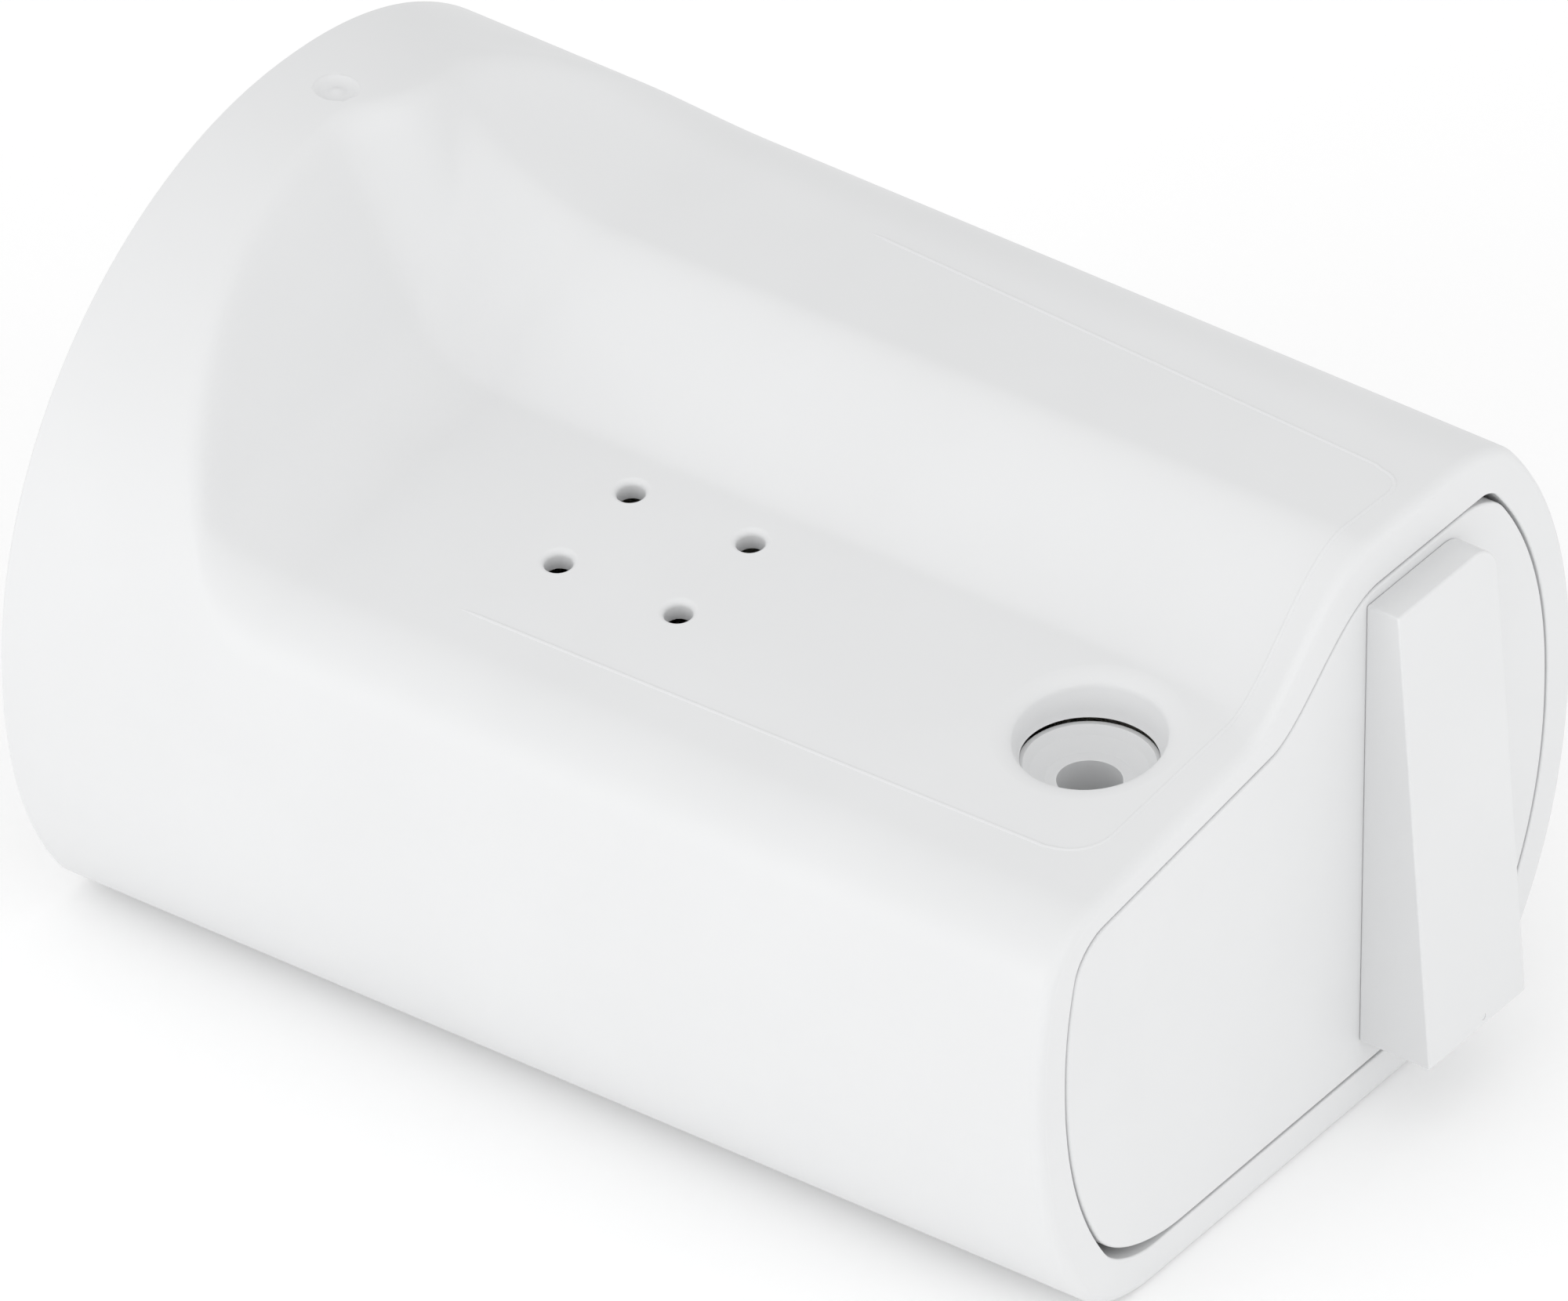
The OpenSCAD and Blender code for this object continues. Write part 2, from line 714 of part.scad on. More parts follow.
module closure_panel() {
    color(shell_white)
        difference() {
            union() {
                slab(0, panel_t)
                    polygon(outline(PANEL, 0, 0));
                for (x = [bar_ends[0] + 1, bar_ends[1] - 1 - lug_w])
                    difference() {
                        block(x, x + lug_w, panel_t - 0.5, bar_u + 2, bar_z - 3.4, bar_z + 3.4);
                        translate([x - 1, mouth_y + bar_u, bar_z])
                            rotate([0, 90, 0])
                                cylinder(h = lug_w + 2, d = bar_d + 0.1, $fn = 32);
                    }
            }
            for (z = grip_screw_z)
                rod_y(grip_screw_x, -1, z, panel_t + 2, screw_d + 2 * pass_gap);
            for (x = tray_screw_x)
                rod_y(x, panel_t - tray_bite - 0.2, tray_screw_z, tray_bite + 1, screw_d + 2 * thread_gap);
        }
}

// Wedge that the hand pulls: it stands out further towards its lower end.
module pull_grip() {
    corner_r = 5;
    color(shell_white)
        difference() {
            intersection() {
                translate([grip_x, mouth_y, 0])
                    rotate([90, 0, 90])
                        linear_extrude(height = grip_w)
                            polygon([
                                [0, grip_low], [-grip_out_low, grip_low],
                                [-grip_out_top, grip_high], [0, grip_high]
                            ]);
                slab(-grip_out_low - 1, grip_out_low + 1)
                    difference() {
                        translate([grip_x - 1, grip_low - 1])
                            square([grip_w + 1, grip_high - grip_low + 1]);
                        translate([grip_x + grip_w - corner_r, grip_high - corner_r])
                            difference() {
                                square(corner_r + 1);
                                circle(r = corner_r, $fn = 48);
                            }
                    }
            }
            for (z = grip_screw_z)
                rod_y(grip_screw_x, -grip_bite - 0.4, z, grip_bite + 1, screw_d + 2 * thread_gap);
        }
}

module grip_screws() {
    color(steel)
        for (z = grip_screw_z)
            translate([grip_screw_x, mouth_y + panel_t, z])
                rotate([-90, 0, 0])
                    pan_screw(panel_t + grip_bite);
}

// Drawer: a floor with a slot that passes the post, a bin for the blanket, and lugs that stop it.
module blanket_tray() {
    w = tray_wall_t;
    slot_front = post_back - slot_half - 0.6;
    window_u = spring_u + bump_at - 1.5;
    window_w = spring_w / 2 + 1;
    lug_r = body_r - wall_t - 1.6;
    flare_x = bin_right - w;
    color(inner_white)
        difference() {
            union() {
                block(-tray_half, tray_half, panel_t, tray_end, tray_z, tray_top);
                block(-tray_in, tray_in, panel_t, panel_t + w, tray_top - eps, tray_top + lip_h);
                block(-tray_in, -tray_in + w, panel_t, tray_end, tray_top - eps, tray_top + lip_h);
                block(bin_left, bin_left + w, panel_t + 4, tray_end, tray_top - eps, tray_top + bin_h);
                slab(panel_t, tray_end - panel_t)
                    polygon([
                        [tray_in - w, tray_top - eps], [tray_in, tray_top - eps], [tray_in, tray_top + 2],
                        [bin_right, flare_z], [bin_right, tray_top + bin_h],
                        [flare_x, tray_top + bin_h], [flare_x, flare_z + 0.5], [tray_in - w, tray_top + 2.5]
                    ]);
                slab(tray_back, w)
                    polygon([
                        [bin_left, tray_top - eps], [tray_in, tray_top - eps], [tray_in, tray_top + 2],
                        [bin_right, flare_z], [bin_right, tray_top + bin_h], [bin_left, tray_top + bin_h]
                    ]);
                intersection() {
                    union() {
                        block(-body_r, -tray_in + w / 2, lug_u, lug_u + lug_t, tray_top + 5, tray_top + 10);
                        block(bin_right - w / 2, body_r, lug_u, lug_u + lug_t, flare_z + 3, flare_z + 9);
                    }
                    rod_y(0, lug_u - 1, centre_h, lug_t + 2, 2 * lug_r);
                }
            }
            block(post_x - slot_half, post_x + slot_half, slot_front, tray_end + 1, tray_z - 1, tray_top + 1);
            block(spring_x - window_w, spring_x + window_w, window_u, window_u + bump_len + 3,
                tray_z - 1, tray_top + 1);
            for (x = tray_screw_x)
                rod_y(x, panel_t - 1, tray_screw_z, w + 2, screw_d + 2 * pass_gap);
        }
}

module tray_screws() {
    color(steel)
        for (x = tray_screw_x)
            translate([x, mouth_y + panel_t + tray_wall_t, tray_screw_z])
                rotate([-90, 0, 0])
                    pan_screw(tray_wall_t + tray_bite);
}

// Low-friction strip under the drawer's edge.
module slide_strip() {
    color(strip_cream)
        block(tray_half - 4, tray_half - 0.3, panel_t + 2, tray_end - 2, strip_z, tray_z);
}

module slide_strip_right() {
    slide_strip();
}

module slide_strip_left() {
    mirror([1, 0, 0]) slide_strip();
}

module tape_bar() {
    color(steel)
        translate([bar_ends[0], mouth_y + bar_u, bar_z])
            rotate([0, 90, 0])
                cylinder(h = bar_ends[1] - bar_ends[0], d = bar_d, $fn = 48);
}

// ---------- soft pieces ----------

// The folded blanket fills the bin, and its outer side follows the bin's slanted wall.
module fire_blanket() {
    left = bin_left + tray_wall_t + soft_gap;
    right = bin_right - tray_wall_t - soft_gap;
    inner_x = tray_in - tray_wall_t - soft_gap;
    color(glass_cloth)
        slab(pack_front, pack_len)
            polygon([
                [left, pack_low], [inner_x, pack_low], [inner_x, tray_top + 3],
                [right, flare_z + 1.5], [right, pack_low + pack_h - 4], [right - 4, pack_low + pack_h],
                [left, pack_low + pack_h]
            ]);
}

// Hand tape, doubled over the bar, hanging in front of the blanket.
module pull_tape(x) {
    color(webbing_red)
        block(x, x + tape_w, bar_u - tape_t / 2, bar_u + tape_t / 2,
            tray_top + lip_h + 2, bar_z - bar_d / 2 - 0.2);
}

module pull_tape_left() {
    pull_tape(bar_ends[0] + 1 + lug_w + 2);
}

module pull_tape_right() {
    pull_tape(bar_ends[1] - 1 - lug_w - 2 - tape_w);
}

case_shell();
rear_cover();
rear_cover_screws();
screw_post();
post_ring_nut();
runner_rail_left();
runner_rail_right();
rail_screws();
catch_spring();
catch_spring_screw();
stop_bumper_left();
stop_bumper_right();
closure_panel();
pull_grip();
grip_screws();
blanket_tray();
tray_screws();
slide_strip_left();
slide_strip_right();
tape_bar();
fire_blanket();
pull_tape_left();
pull_tape_right();
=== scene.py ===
import math

import bpy
import bmesh
import numpy as np
from mathutils import Matrix, Vector


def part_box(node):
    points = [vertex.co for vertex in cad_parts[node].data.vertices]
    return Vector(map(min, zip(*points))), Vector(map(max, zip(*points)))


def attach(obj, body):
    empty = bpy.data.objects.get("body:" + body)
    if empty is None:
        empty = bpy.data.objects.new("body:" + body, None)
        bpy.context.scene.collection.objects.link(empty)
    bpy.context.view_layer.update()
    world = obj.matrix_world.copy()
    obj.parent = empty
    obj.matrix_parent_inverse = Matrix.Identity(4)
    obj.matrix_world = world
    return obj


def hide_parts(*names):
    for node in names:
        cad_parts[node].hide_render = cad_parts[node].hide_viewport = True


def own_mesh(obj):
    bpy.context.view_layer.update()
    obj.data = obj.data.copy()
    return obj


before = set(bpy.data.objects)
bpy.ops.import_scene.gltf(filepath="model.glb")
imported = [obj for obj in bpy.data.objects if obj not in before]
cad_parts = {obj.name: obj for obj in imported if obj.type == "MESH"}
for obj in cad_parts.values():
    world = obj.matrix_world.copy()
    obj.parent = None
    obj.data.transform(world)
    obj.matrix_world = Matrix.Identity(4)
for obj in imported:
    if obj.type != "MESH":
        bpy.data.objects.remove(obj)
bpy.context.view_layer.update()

mm = 0.001
shellLow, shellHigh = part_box("case_shell")
mouthY = shellLow.y / mm              # the mouth's plane; depths run back from it, in millimetres
caseLen = (shellHigh.y - shellLow.y) / mm

# The case's section, in millimetres: a round body on a flat back, cut by a stepped top.
caseShape = dict(
    bodyR=65.6, taper=1.4, centreH=48.0, shelfH=79.8, shelfFall=0.13, lobeH=98.2, wall=3.0, floor=4.0,
    edgeR=1.7, rearEdgeR=0.5, footX=-8.5, topX=14.5, flare=8.5, flareLen=7.0,
    scoopBack=(43.5, 50.0), scoopR=(16.5, 37.0), scoopTurn=(0.0, 20.0), scoopAngle=62.0, scoopBlend=2.0,
    scoopFull=6.0, baseBlend=6.0, innerBaseBlend=2.0, topBlend=(7.5, 5.5),
    squareness=(2.03, 2.14, 2.19),    # of the round: upper left, upper right, lower
)
mouthShape = dict(
    rimSide=6.5, rimFloor=6.5, rimShelf=4.9, rimLobe=8.4, rimDepth=8.0,
    rampSpread=1.5, baseBlend=5.5, topBlend=(4.5, 1.6), edgeR=0.3,
)


# Small helpers.

def linkObject(name, mesh):
    piece = bpy.data.objects.new(name, mesh)
    bpy.context.scene.collection.objects.link(piece)
    return piece


# A mesh from points in millimetres.
def meshPiece(name, points, faces):
    mesh = bpy.data.meshes.new(name)
    mesh.from_pydata([tuple(c * mm for c in p) for p in points], [], faces)
    mesh.validate()
    mesh.update()
    return linkObject(name, mesh)


def facesOut(piece):
    work = bmesh.new()
    work.from_mesh(piece.data)
    bmesh.ops.recalc_face_normals(work, faces=work.faces)
    work.to_mesh(piece.data)
    work.free()


def smoothShade(piece, sharpAngle):
    piece.data.shade_smooth()
    piece.data.set_sharp_from_angle(angle=math.radians(sharpAngle))


def evenNormals(piece):
    weighted = piece.modifiers.new("evenNormals", "WEIGHTED_NORMAL")
    weighted.keep_sharp = True
    weighted.weight = 60


# Rounds the edges that turn by more than the angle; the width is in millimetres.
def softEdges(piece, width, segments, angle, harden=False):
    rounded = piece.modifiers.new("softEdges", "BEVEL")
    rounded.width = width * mm
    rounded.segments = segments
    rounded.limit_method = "ANGLE"
    rounded.angle_limit = math.radians(angle)
    rounded.harden_normals = harden


def applyModifiers(piece):
    graph = bpy.context.evaluated_depsgraph_get()
    done = bpy.data.meshes.new_from_object(piece.evaluated_get(graph))
    old = piece.data
    piece.modifiers.clear()
    piece.data = done
    bpy.data.meshes.remove(old)


def combine(piece, tool, how):
    step = piece.modifiers.new(how, "BOOLEAN")
    step.operation = how
    step.solver = "EXACT"
    step.object = tool
    applyModifiers(piece)
    bpy.data.objects.remove(tool)


def joinPieces(name, pieces):
    work = bmesh.new()
    for piece in pieces:
        work.from_mesh(piece.data)
    mesh = bpy.data.meshes.new(name)
    work.to_mesh(mesh)
    work.free()
    for piece in pieces:
        bpy.data.objects.remove(piece)
    return linkObject(name, mesh)


# Turns (radius, height) points round an axis through a place given in millimetres.
# Where lean is given, it says how much each height slopes up towards +X.
def revolved(name, profile, x, depth, z, steps, axis="Z", lean=None):
    points, faces = [], []
    leastR = 0.0004                   # keeps the points on the axis apart
    for r, h in profile:
        r = max(r, leastR)
        for i in range(steps):
            a = 2 * math.pi * i / steps
            across, up = r * math.cos(a), r * math.sin(a)
            if axis == "Z":
                slant = across * lean(h) if lean else 0
                points.append((x + across, mouthY + depth + up, z + h + slant))
            else:
                points.append((x + across, mouthY + depth + h, z - up))
    for k in range(len(profile) - 1):
        for i in range(steps):
            j = (i + 1) % steps
            faces.append((k * steps + i, k * steps + j, (k + 1) * steps + j, (k + 1) * steps + i))
    faces.append(tuple(reversed(range(steps))))
    faces.append(tuple((len(profile) - 1) * steps + i for i in range(steps)))
    piece = meshPiece(name, points, faces)
    facesOut(piece)
    return piece


def arc(cx, cy, r, start, end, count):
    return [
        (cx + r * math.cos(math.radians(a)), cy + r * math.sin(math.radians(a)))
        for a in np.linspace(start, end, count)
    ]


# The case's section as depth functions, in millimetres: above nought inside, and nought at the skin.
slopeStep = 0.02                      # half the span over which a slope is taken
axisReach = (10.0, 130.0)             # the skin lies between these radii from the centre line

def ease(t):
    t = np.clip(t, 0, 1)
    return t * t * (3 - 2 * t)


def roundedLeast(a, b, r):
    corner = r - np.sqrt(np.maximum(r - a, 0) ** 2 + np.maximum(r - b, 0) ** 2)
    return np.where((a < r) & (b < r), corner, np.minimum(a, b))


def bodyDepth(x, z, radius):
    s = caseShape
    up = z - s["centreH"]
    upper = np.where(x < 0, s["squareness"][0], s["squareness"][1])
    n = np.where(up < 0, s["squareness"][2], upper)
    return radius - (np.abs(x) ** n + np.abs(up) ** n) ** (1 / n)


# The scoop is tighter and starts later on the shelf than on the lobe.
def scoopRise(x, u):
    s = caseShape
    slope = math.radians(s["scoopAngle"])
    turn = ease((x - s["scoopTurn"][0]) / (s["scoopTurn"][1] - s["scoopTurn"][0]))
    radius = s["scoopR"][0] + (s["scoopR"][1] - s["scoopR"][0]) * turn
    back = s["scoopBack"][0] + (s["scoopBack"][1] - s["scoopBack"][0]) * turn
    d = np.maximum(u - caseLen + back, 0)
    swept = np.minimum(d, radius * math.sin(slope))
    return radius - np.sqrt(radius ** 2 - swept ** 2) + (d - swept) * math.tan(slope)


def shelfAt(x):
    return caseShape["shelfH"] + caseShape["shelfFall"] * (x - caseShape["footX"])


def topHeight(x, u):
    s = caseShape
    foot = s["footX"] - s["flare"] * np.exp(-u / s["flareLen"])
    low = shelfAt(x)
    return low + (s["lobeH"] - low) * ease((x - foot) / (s["topX"] - foot)) + scoopRise(x, u)


def caseDepth(x, z, u, off, floorZ, lowBlend):
    s = caseShape
    e = slopeStep
    slopeX = (topHeight(x + e, u) - topHeight(x - e, u)) / (2 * e)
    slopeU = (topHeight(x, u + e) - topHeight(x, u - e)) / (2 * e)
    top = (topHeight(x, u) - z) / np.sqrt(1 + slopeX ** 2 + slopeU ** 2) - off
    lifted = np.clip(scoopRise(x, u) / s["scoopFull"], 0, 1)
    flat = np.where(x < 0, s["topBlend"][0], s["topBlend"][1])
    corner = flat + (s["scoopBlend"] - flat) * lifted
    radius = s["bodyR"] + s["taper"] * u / caseLen - off
    low = roundedLeast(bodyDepth(x, z, radius), z - floorZ, lowBlend)
    return roundedLeast(low, top, corner)


def outerDepth(off=0.0):
    return lambda x, z, u: caseDepth(x, z, u, off, off, caseShape["baseBlend"])


def innerDepth(off=0.0):
    s = caseShape
    return lambda x, z, u: caseDepth(
        x, z, u, s["wall"] + off, s["floor"] + off, s["innerBaseBlend"])


def mouthTop(x):
    s, m = caseShape, mouthShape
    low = shelfAt(x) - m["rimShelf"]
    high = s["lobeH"] - m["rimLobe"]
    spread = m["rampSpread"]
    return low + (high - low) * ease((x - s["footX"] + spread) / (s["topX"] - s["footX"] + 2 * spread))


def mouthDepth(gap=0.0, lowBlend=None, corners=None):
    s, m = caseShape, mouthShape
    lowBlend = lowBlend or m["baseBlend"]
    corners = corners or m["topBlend"]

    def depth(x, z, u):
        e = slopeStep
        slope = (mouthTop(x + e) - mouthTop(x - e)) / (2 * e)
        low = roundedLeast(
            bodyDepth(x, z, s["bodyR"] - m["rimSide"] - gap), z - m["rimFloor"] - gap, lowBlend)
        top = (mouthTop(x) - z) / np.sqrt(1 + slope ** 2) - gap
        return roundedLeast(low, top, np.where(x < 0, corners[0], corners[1]))
    return depth


# Where each direction from the centre line meets the skin, by halving.
def skinRing(depth, angles, u):
    low = np.full(len(angles), axisReach[0])
    high = np.full(len(angles), axisReach[1])
    c, s = np.cos(angles), np.sin(angles)
    for _ in range(26):
        middle = (low + high) / 2
        inside = depth(middle * c, caseShape["centreH"] + middle * s, u) > 0
        low = np.where(inside, middle, low)
        high = np.where(inside, high, middle)
    r = (low + high) / 2
    return [(r[i] * c[i], mouthY + u, caseShape["centreH"] + r[i] * s[i]) for i in range(len(angles))]


# Directions that put more points where the section bends, as it does halfway along the shelf.
def sectionAngles(count, probeU=40.0, spread=20, pull=14):
    fine = np.linspace(0, 2 * math.pi, 3000, endpoint=False)
    ring = np.array(skinRing(outerDepth(), fine, probeU))[:, [0, 2]]
    step = np.roll(ring, -1, 0) - ring
    length = np.hypot(step[:, 0], step[:, 1])
    heading = np.unwrap(np.arctan2(step[:, 1], step[:, 0]))
    turn = np.abs(np.gradient(heading))
    window = 2 * spread + 1
    wrapped = np.r_[turn[-2 * spread:], turn, turn[:2 * spread]]
    turn = np.convolve(wrapped, np.ones(window) / window, "same")[2 * spread:-2 * spread]
    weight = length + pull * turn
    total = np.r_[0, np.cumsum(weight)]
    wanted = np.linspace(0, total[-1], count, endpoint=False)
    return np.interp(wanted, total, np.r_[fine, 2 * math.pi])


def ringFaces(ringCount, size, closed):
    faces = []
    for k in range(ringCount if closed else ringCount - 1):
        here, after = k * size, ((k + 1) % ringCount) * size
        for i in range(size):
            j = (i + 1) % size
            faces.append((here + i, after + i, after + j, here + j))
    return faces


print("section ready: case length", round(caseLen, 2), "mm")


# Materials. What several finishes share is in node groups; each material has its own shader.

def addNode(tree, kind, inputs=None, **settings):
    node = tree.nodes.new("ShaderNode" + kind)
    for key, value in settings.items():
        setattr(node, key, value)
    for key, value in (inputs or {}).items():
        if isinstance(value, bpy.types.NodeSocket):
            tree.links.new(value, node.inputs[key])
        else:
            node.inputs[key].default_value = value
    return node


def maths(tree, operation, a, b=0.0, c=0.0):
    return addNode(tree, "Math", {0: a, 1: b, 2: c}, operation=operation).outputs[0]


def stepped(tree, value, low, high):
    node = addNode(tree, "MapRange", {"Value": value, "From Min": low, "From Max": high})
    node.interpolation_type = "SMOOTHSTEP"
    return node.outputs["Result"]


def noiseOf(tree, place, scale, detail, rough=0.5):
    return addNode(tree, "TexNoise", {
        "Vector": place, "Scale": scale, "Detail": detail, "Roughness": rough}).outputs["Fac"]


def newGroup(name, inputs, outputs):
    group = bpy.data.node_groups.new(name, "ShaderNodeTree")
    for label, value in inputs.items():
        socket = group.interface.new_socket(
            name=label, in_out="INPUT", socket_type="NodeSocketFloat")
        socket.default_value = value
    for label in outputs:
        group.interface.new_socket(name=label, in_out="OUTPUT", socket_type="NodeSocketFloat")
    return group, group.nodes.new("NodeGroupInput").outputs, group.nodes.new("NodeGroupOutput").inputs


# Spark-eroded mould grain, with a broad faint mottle and a few pits.
def makeGrainGroup():
    group, given, out = newGroup(
        "mouldGrain", {"Grains per m": 2600.0, "Pits per m": 24.0}, ("Height", "Mottle", "Pits"))
    place = addNode(group, "TexCoord").outputs["Object"]
    fine = noiseOf(group, place, given["Grains per m"], 3.0, 0.6)
    coarse = noiseOf(group, place, maths(group, "MULTIPLY", given["Grains per m"], 0.22), 1.0)
    height = maths(group, "MULTIPLY_ADD", coarse, 0.45, fine)
    broad = noiseOf(group, place, 26.0, 3.0, 0.55)
    cells = addNode(group, "TexVoronoi", {"Vector": place, "Scale": given["Pits per m"]})
    spot = stepped(group, cells.outputs["Distance"], 0.0075, 0.0035)
    picked = addNode(group, "SeparateColor", {"Color": cells.outputs["Color"]}).outputs["Red"]
    group.links.new(height, out["Height"])
    group.links.new(broad, out["Mottle"])
    group.links.new(maths(group, "MULTIPLY", spot, stepped(group, picked, 0.35, 0.55)), out["Pits"])
    return group


# Handling wear along edges, broken up by noise.
def makeWearGroup():
    group, given, out = newGroup("edgeWear", {"Width": 0.0006, "Breakup per m": 420.0}, ("Mask",))
    place = addNode(group, "TexCoord").outputs["Object"]
    rounded = addNode(group, "Bevel", {"Radius": given["Width"]}, samples=4).outputs["Normal"]
    normal = addNode(group, "NewGeometry").outputs["Normal"]
    same = addNode(group, "VectorMath", {0: rounded, 1: normal}, operation="DOT_PRODUCT").outputs["Value"]
    edge = stepped(group, same, 0.995, 0.86)
    broken = stepped(group, noiseOf(group, place, given["Breakup per m"], 4.0, 0.7), 0.38, 0.62)
    group.links.new(maths(group, "MULTIPLY", edge, broken), out["Mask"])
    return group


# Fine dust that rests on what faces up.
def makeDustGroup():
    group, given, out = newGroup("restingDust", {"Cover": 0.3}, ("Mask",))
    place = addNode(group, "TexCoord").outputs["Object"]
    normal = addNode(group, "NewGeometry").outputs["Normal"]
    up = stepped(group, addNode(group, "SeparateXYZ", {"Vector": normal}).outputs["Z"], 0.3, 1.0)
    patch = stepped(group, noiseOf(group, place, 60.0, 6.0, 0.7), 0.35, 0.75)
    mask = maths(group, "MULTIPLY", maths(group, "MULTIPLY", up, patch), given["Cover"])
    group.links.new(mask, out["Mask"])
    return group


# Plain weave: warp and weft threads pass over each other in turn, along the cloth's own directions.
def makeWeaveGroup():
    group, given, out = newGroup("plainWeave", {"Warp": 900.0, "Weft": 900.0}, ("Height", "Thread"))
    cloth = addNode(group, "UVMap", uv_map="clothWay").outputs["UV"]
    parts = addNode(group, "SeparateXYZ", {"Vector": cloth}).outputs
    warp = maths(group, "SINE", maths(group, "MULTIPLY", parts["X"], given["Warp"]))
    weft = maths(group, "SINE", maths(group, "MULTIPLY", parts["Y"], given["Weft"]))
    over = maths(group, "GREATER_THAN", maths(group, "MULTIPLY", warp, weft), 0.0)
    pick = addNode(group, "Mix", {
        "Factor": over, "A": maths(group, "ABSOLUTE", weft), "B": maths(group, "ABSOLUTE", warp)})
    fray = noiseOf(group, cloth, 700.0, 3.0, 0.7)
    group.links.new(maths(group, "MULTIPLY_ADD", fray, 0.25, pick.outputs["Result"]), out["Height"])
    group.links.new(over, out["Thread"])
    return group


sharedGroups = dict(
    grain=makeGrainGroup(), wear=makeWearGroup(), dust=makeDustGroup(), weave=makeWeaveGroup())


def placeGroup(tree, which, values=None):
    node = tree.nodes.new("ShaderNodeGroup")
    node.node_tree = sharedGroups[which]
    for key, value in (values or {}).items():
        node.inputs[key].default_value = value
    return node.outputs


def mixed(tree, base, colour, amount):
    node = addNode(tree, "Mix", data_type="RGBA")
    tree.links.new(amount, node.inputs["Factor"])
    for key, value in (("A", base), ("B", colour)):
        socket = next(s for s in node.inputs if s.name == key and s.type == "RGBA")
        if isinstance(value, bpy.types.NodeSocket):
            tree.links.new(value, socket)
        else:
            socket.default_value = (*value, 1)
    return next(s for s in node.outputs if s.type == "RGBA")


# Relief from a height; the distance is in millimetres.
def bumped(tree, shader, height, distance):
    node = addNode(tree, "Bump", {"Height": height, "Distance": distance * mm})
    tree.links.new(node.outputs["Normal"], shader.inputs["Normal"])


def newMaterial(name, roughness, specular, metallic=0.0):
    material = bpy.data.materials.new(name)
    material.use_nodes = True
    shader = material.node_tree.nodes["Principled BSDF"]
    shader.inputs["Roughness"].default_value = roughness
    shader.inputs["Specular IOR Level"].default_value = specular
    shader.inputs["Metallic"].default_value = metallic
    return material, material.node_tree, shader


dustTone = (0.60, 0.585, 0.55)


def toned(colour, factor):
    return tuple(min(1, c * factor) for c in colour)


# Moulded plastic: grain, mottle, rubbed edges, a trace of dust and sparse pits.
def mouldedPlastic(name, colour, look):
    material, tree, shader = newMaterial(name, look["rough"], 0.42)
    grain = placeGroup(tree, "grain", {"Grains per m": look["grains"]})
    wear = placeGroup(tree, "wear")
    dust = placeGroup(tree, "dust", {"Cover": look["dust"]})
    shade = mixed(tree, colour, toned(colour, 0.985), stepped(tree, grain["Mottle"], 0.35, 0.7))
    shade = mixed(tree, shade, dustTone, dust["Mask"])
    shade = mixed(tree, shade, toned(colour, 1.05), wear["Mask"])
    shade = mixed(tree, shade, look["pit"], grain["Pits"])
    tree.links.new(shade, shader.inputs["Base Color"])
    rough = maths(tree, "MULTIPLY_ADD", grain["Mottle"], 0.16, look["rough"] - 0.08)
    rough = maths(tree, "MULTIPLY_ADD", wear["Mask"], -0.1, rough)
    tree.links.new(rough, shader.inputs["Roughness"])
    height = maths(tree, "MULTIPLY_ADD", grain["Pits"], -3.0, grain["Height"])
    bumped(tree, shader, height, look["depth"])
    return material


def metalFinish(name, colour, look):
    material, tree, shader = newMaterial(name, look["rough"], 0.5, 1.0)
    place = addNode(tree, "TexCoord").outputs["Object"]
    drawn = addNode(tree, "Mapping", {"Vector": place, "Scale": look["stretch"]}).outputs["Vector"]
    lines = noiseOf(tree, drawn, 900.0, 4.0, 0.65)
    bloom = stepped(tree, noiseOf(tree, place, 380.0, 5.0, 0.6), 0.35, 0.7)
    wear = placeGroup(tree, "wear", {"Width": 0.0003})
    shade = mixed(tree, colour, look["bloom"], bloom)
    shade = mixed(tree, shade, toned(colour, 1.25), wear["Mask"])
    tree.links.new(shade, shader.inputs["Base Color"])
    rough = maths(tree, "MULTIPLY_ADD", lines, 0.25, look["rough"] - 0.1)
    tree.links.new(rough, shader.inputs["Roughness"])
    bumped(tree, shader, lines, 0.004)
    return material


def rubberFinish():
    material, tree, shader = newMaterial("bumperRubber", 0.7, 0.35)
    grain = placeGroup(tree, "grain", {"Grains per m": 3800.0})
    dust = placeGroup(tree, "dust", {"Cover": 0.35})
    shade = mixed(tree, (0.018, 0.018, 0.019), (0.05, 0.05, 0.048), grain["Mottle"])
    tree.links.new(mixed(tree, shade, (0.3, 0.29, 0.27), dust["Mask"]), shader.inputs["Base Color"])
    tree.links.new(maths(tree, "MULTIPLY_ADD", grain["Mottle"], 0.2, 0.58), shader.inputs["Roughness"])
    bumped(tree, shader, grain["Height"], 0.012)
    return material


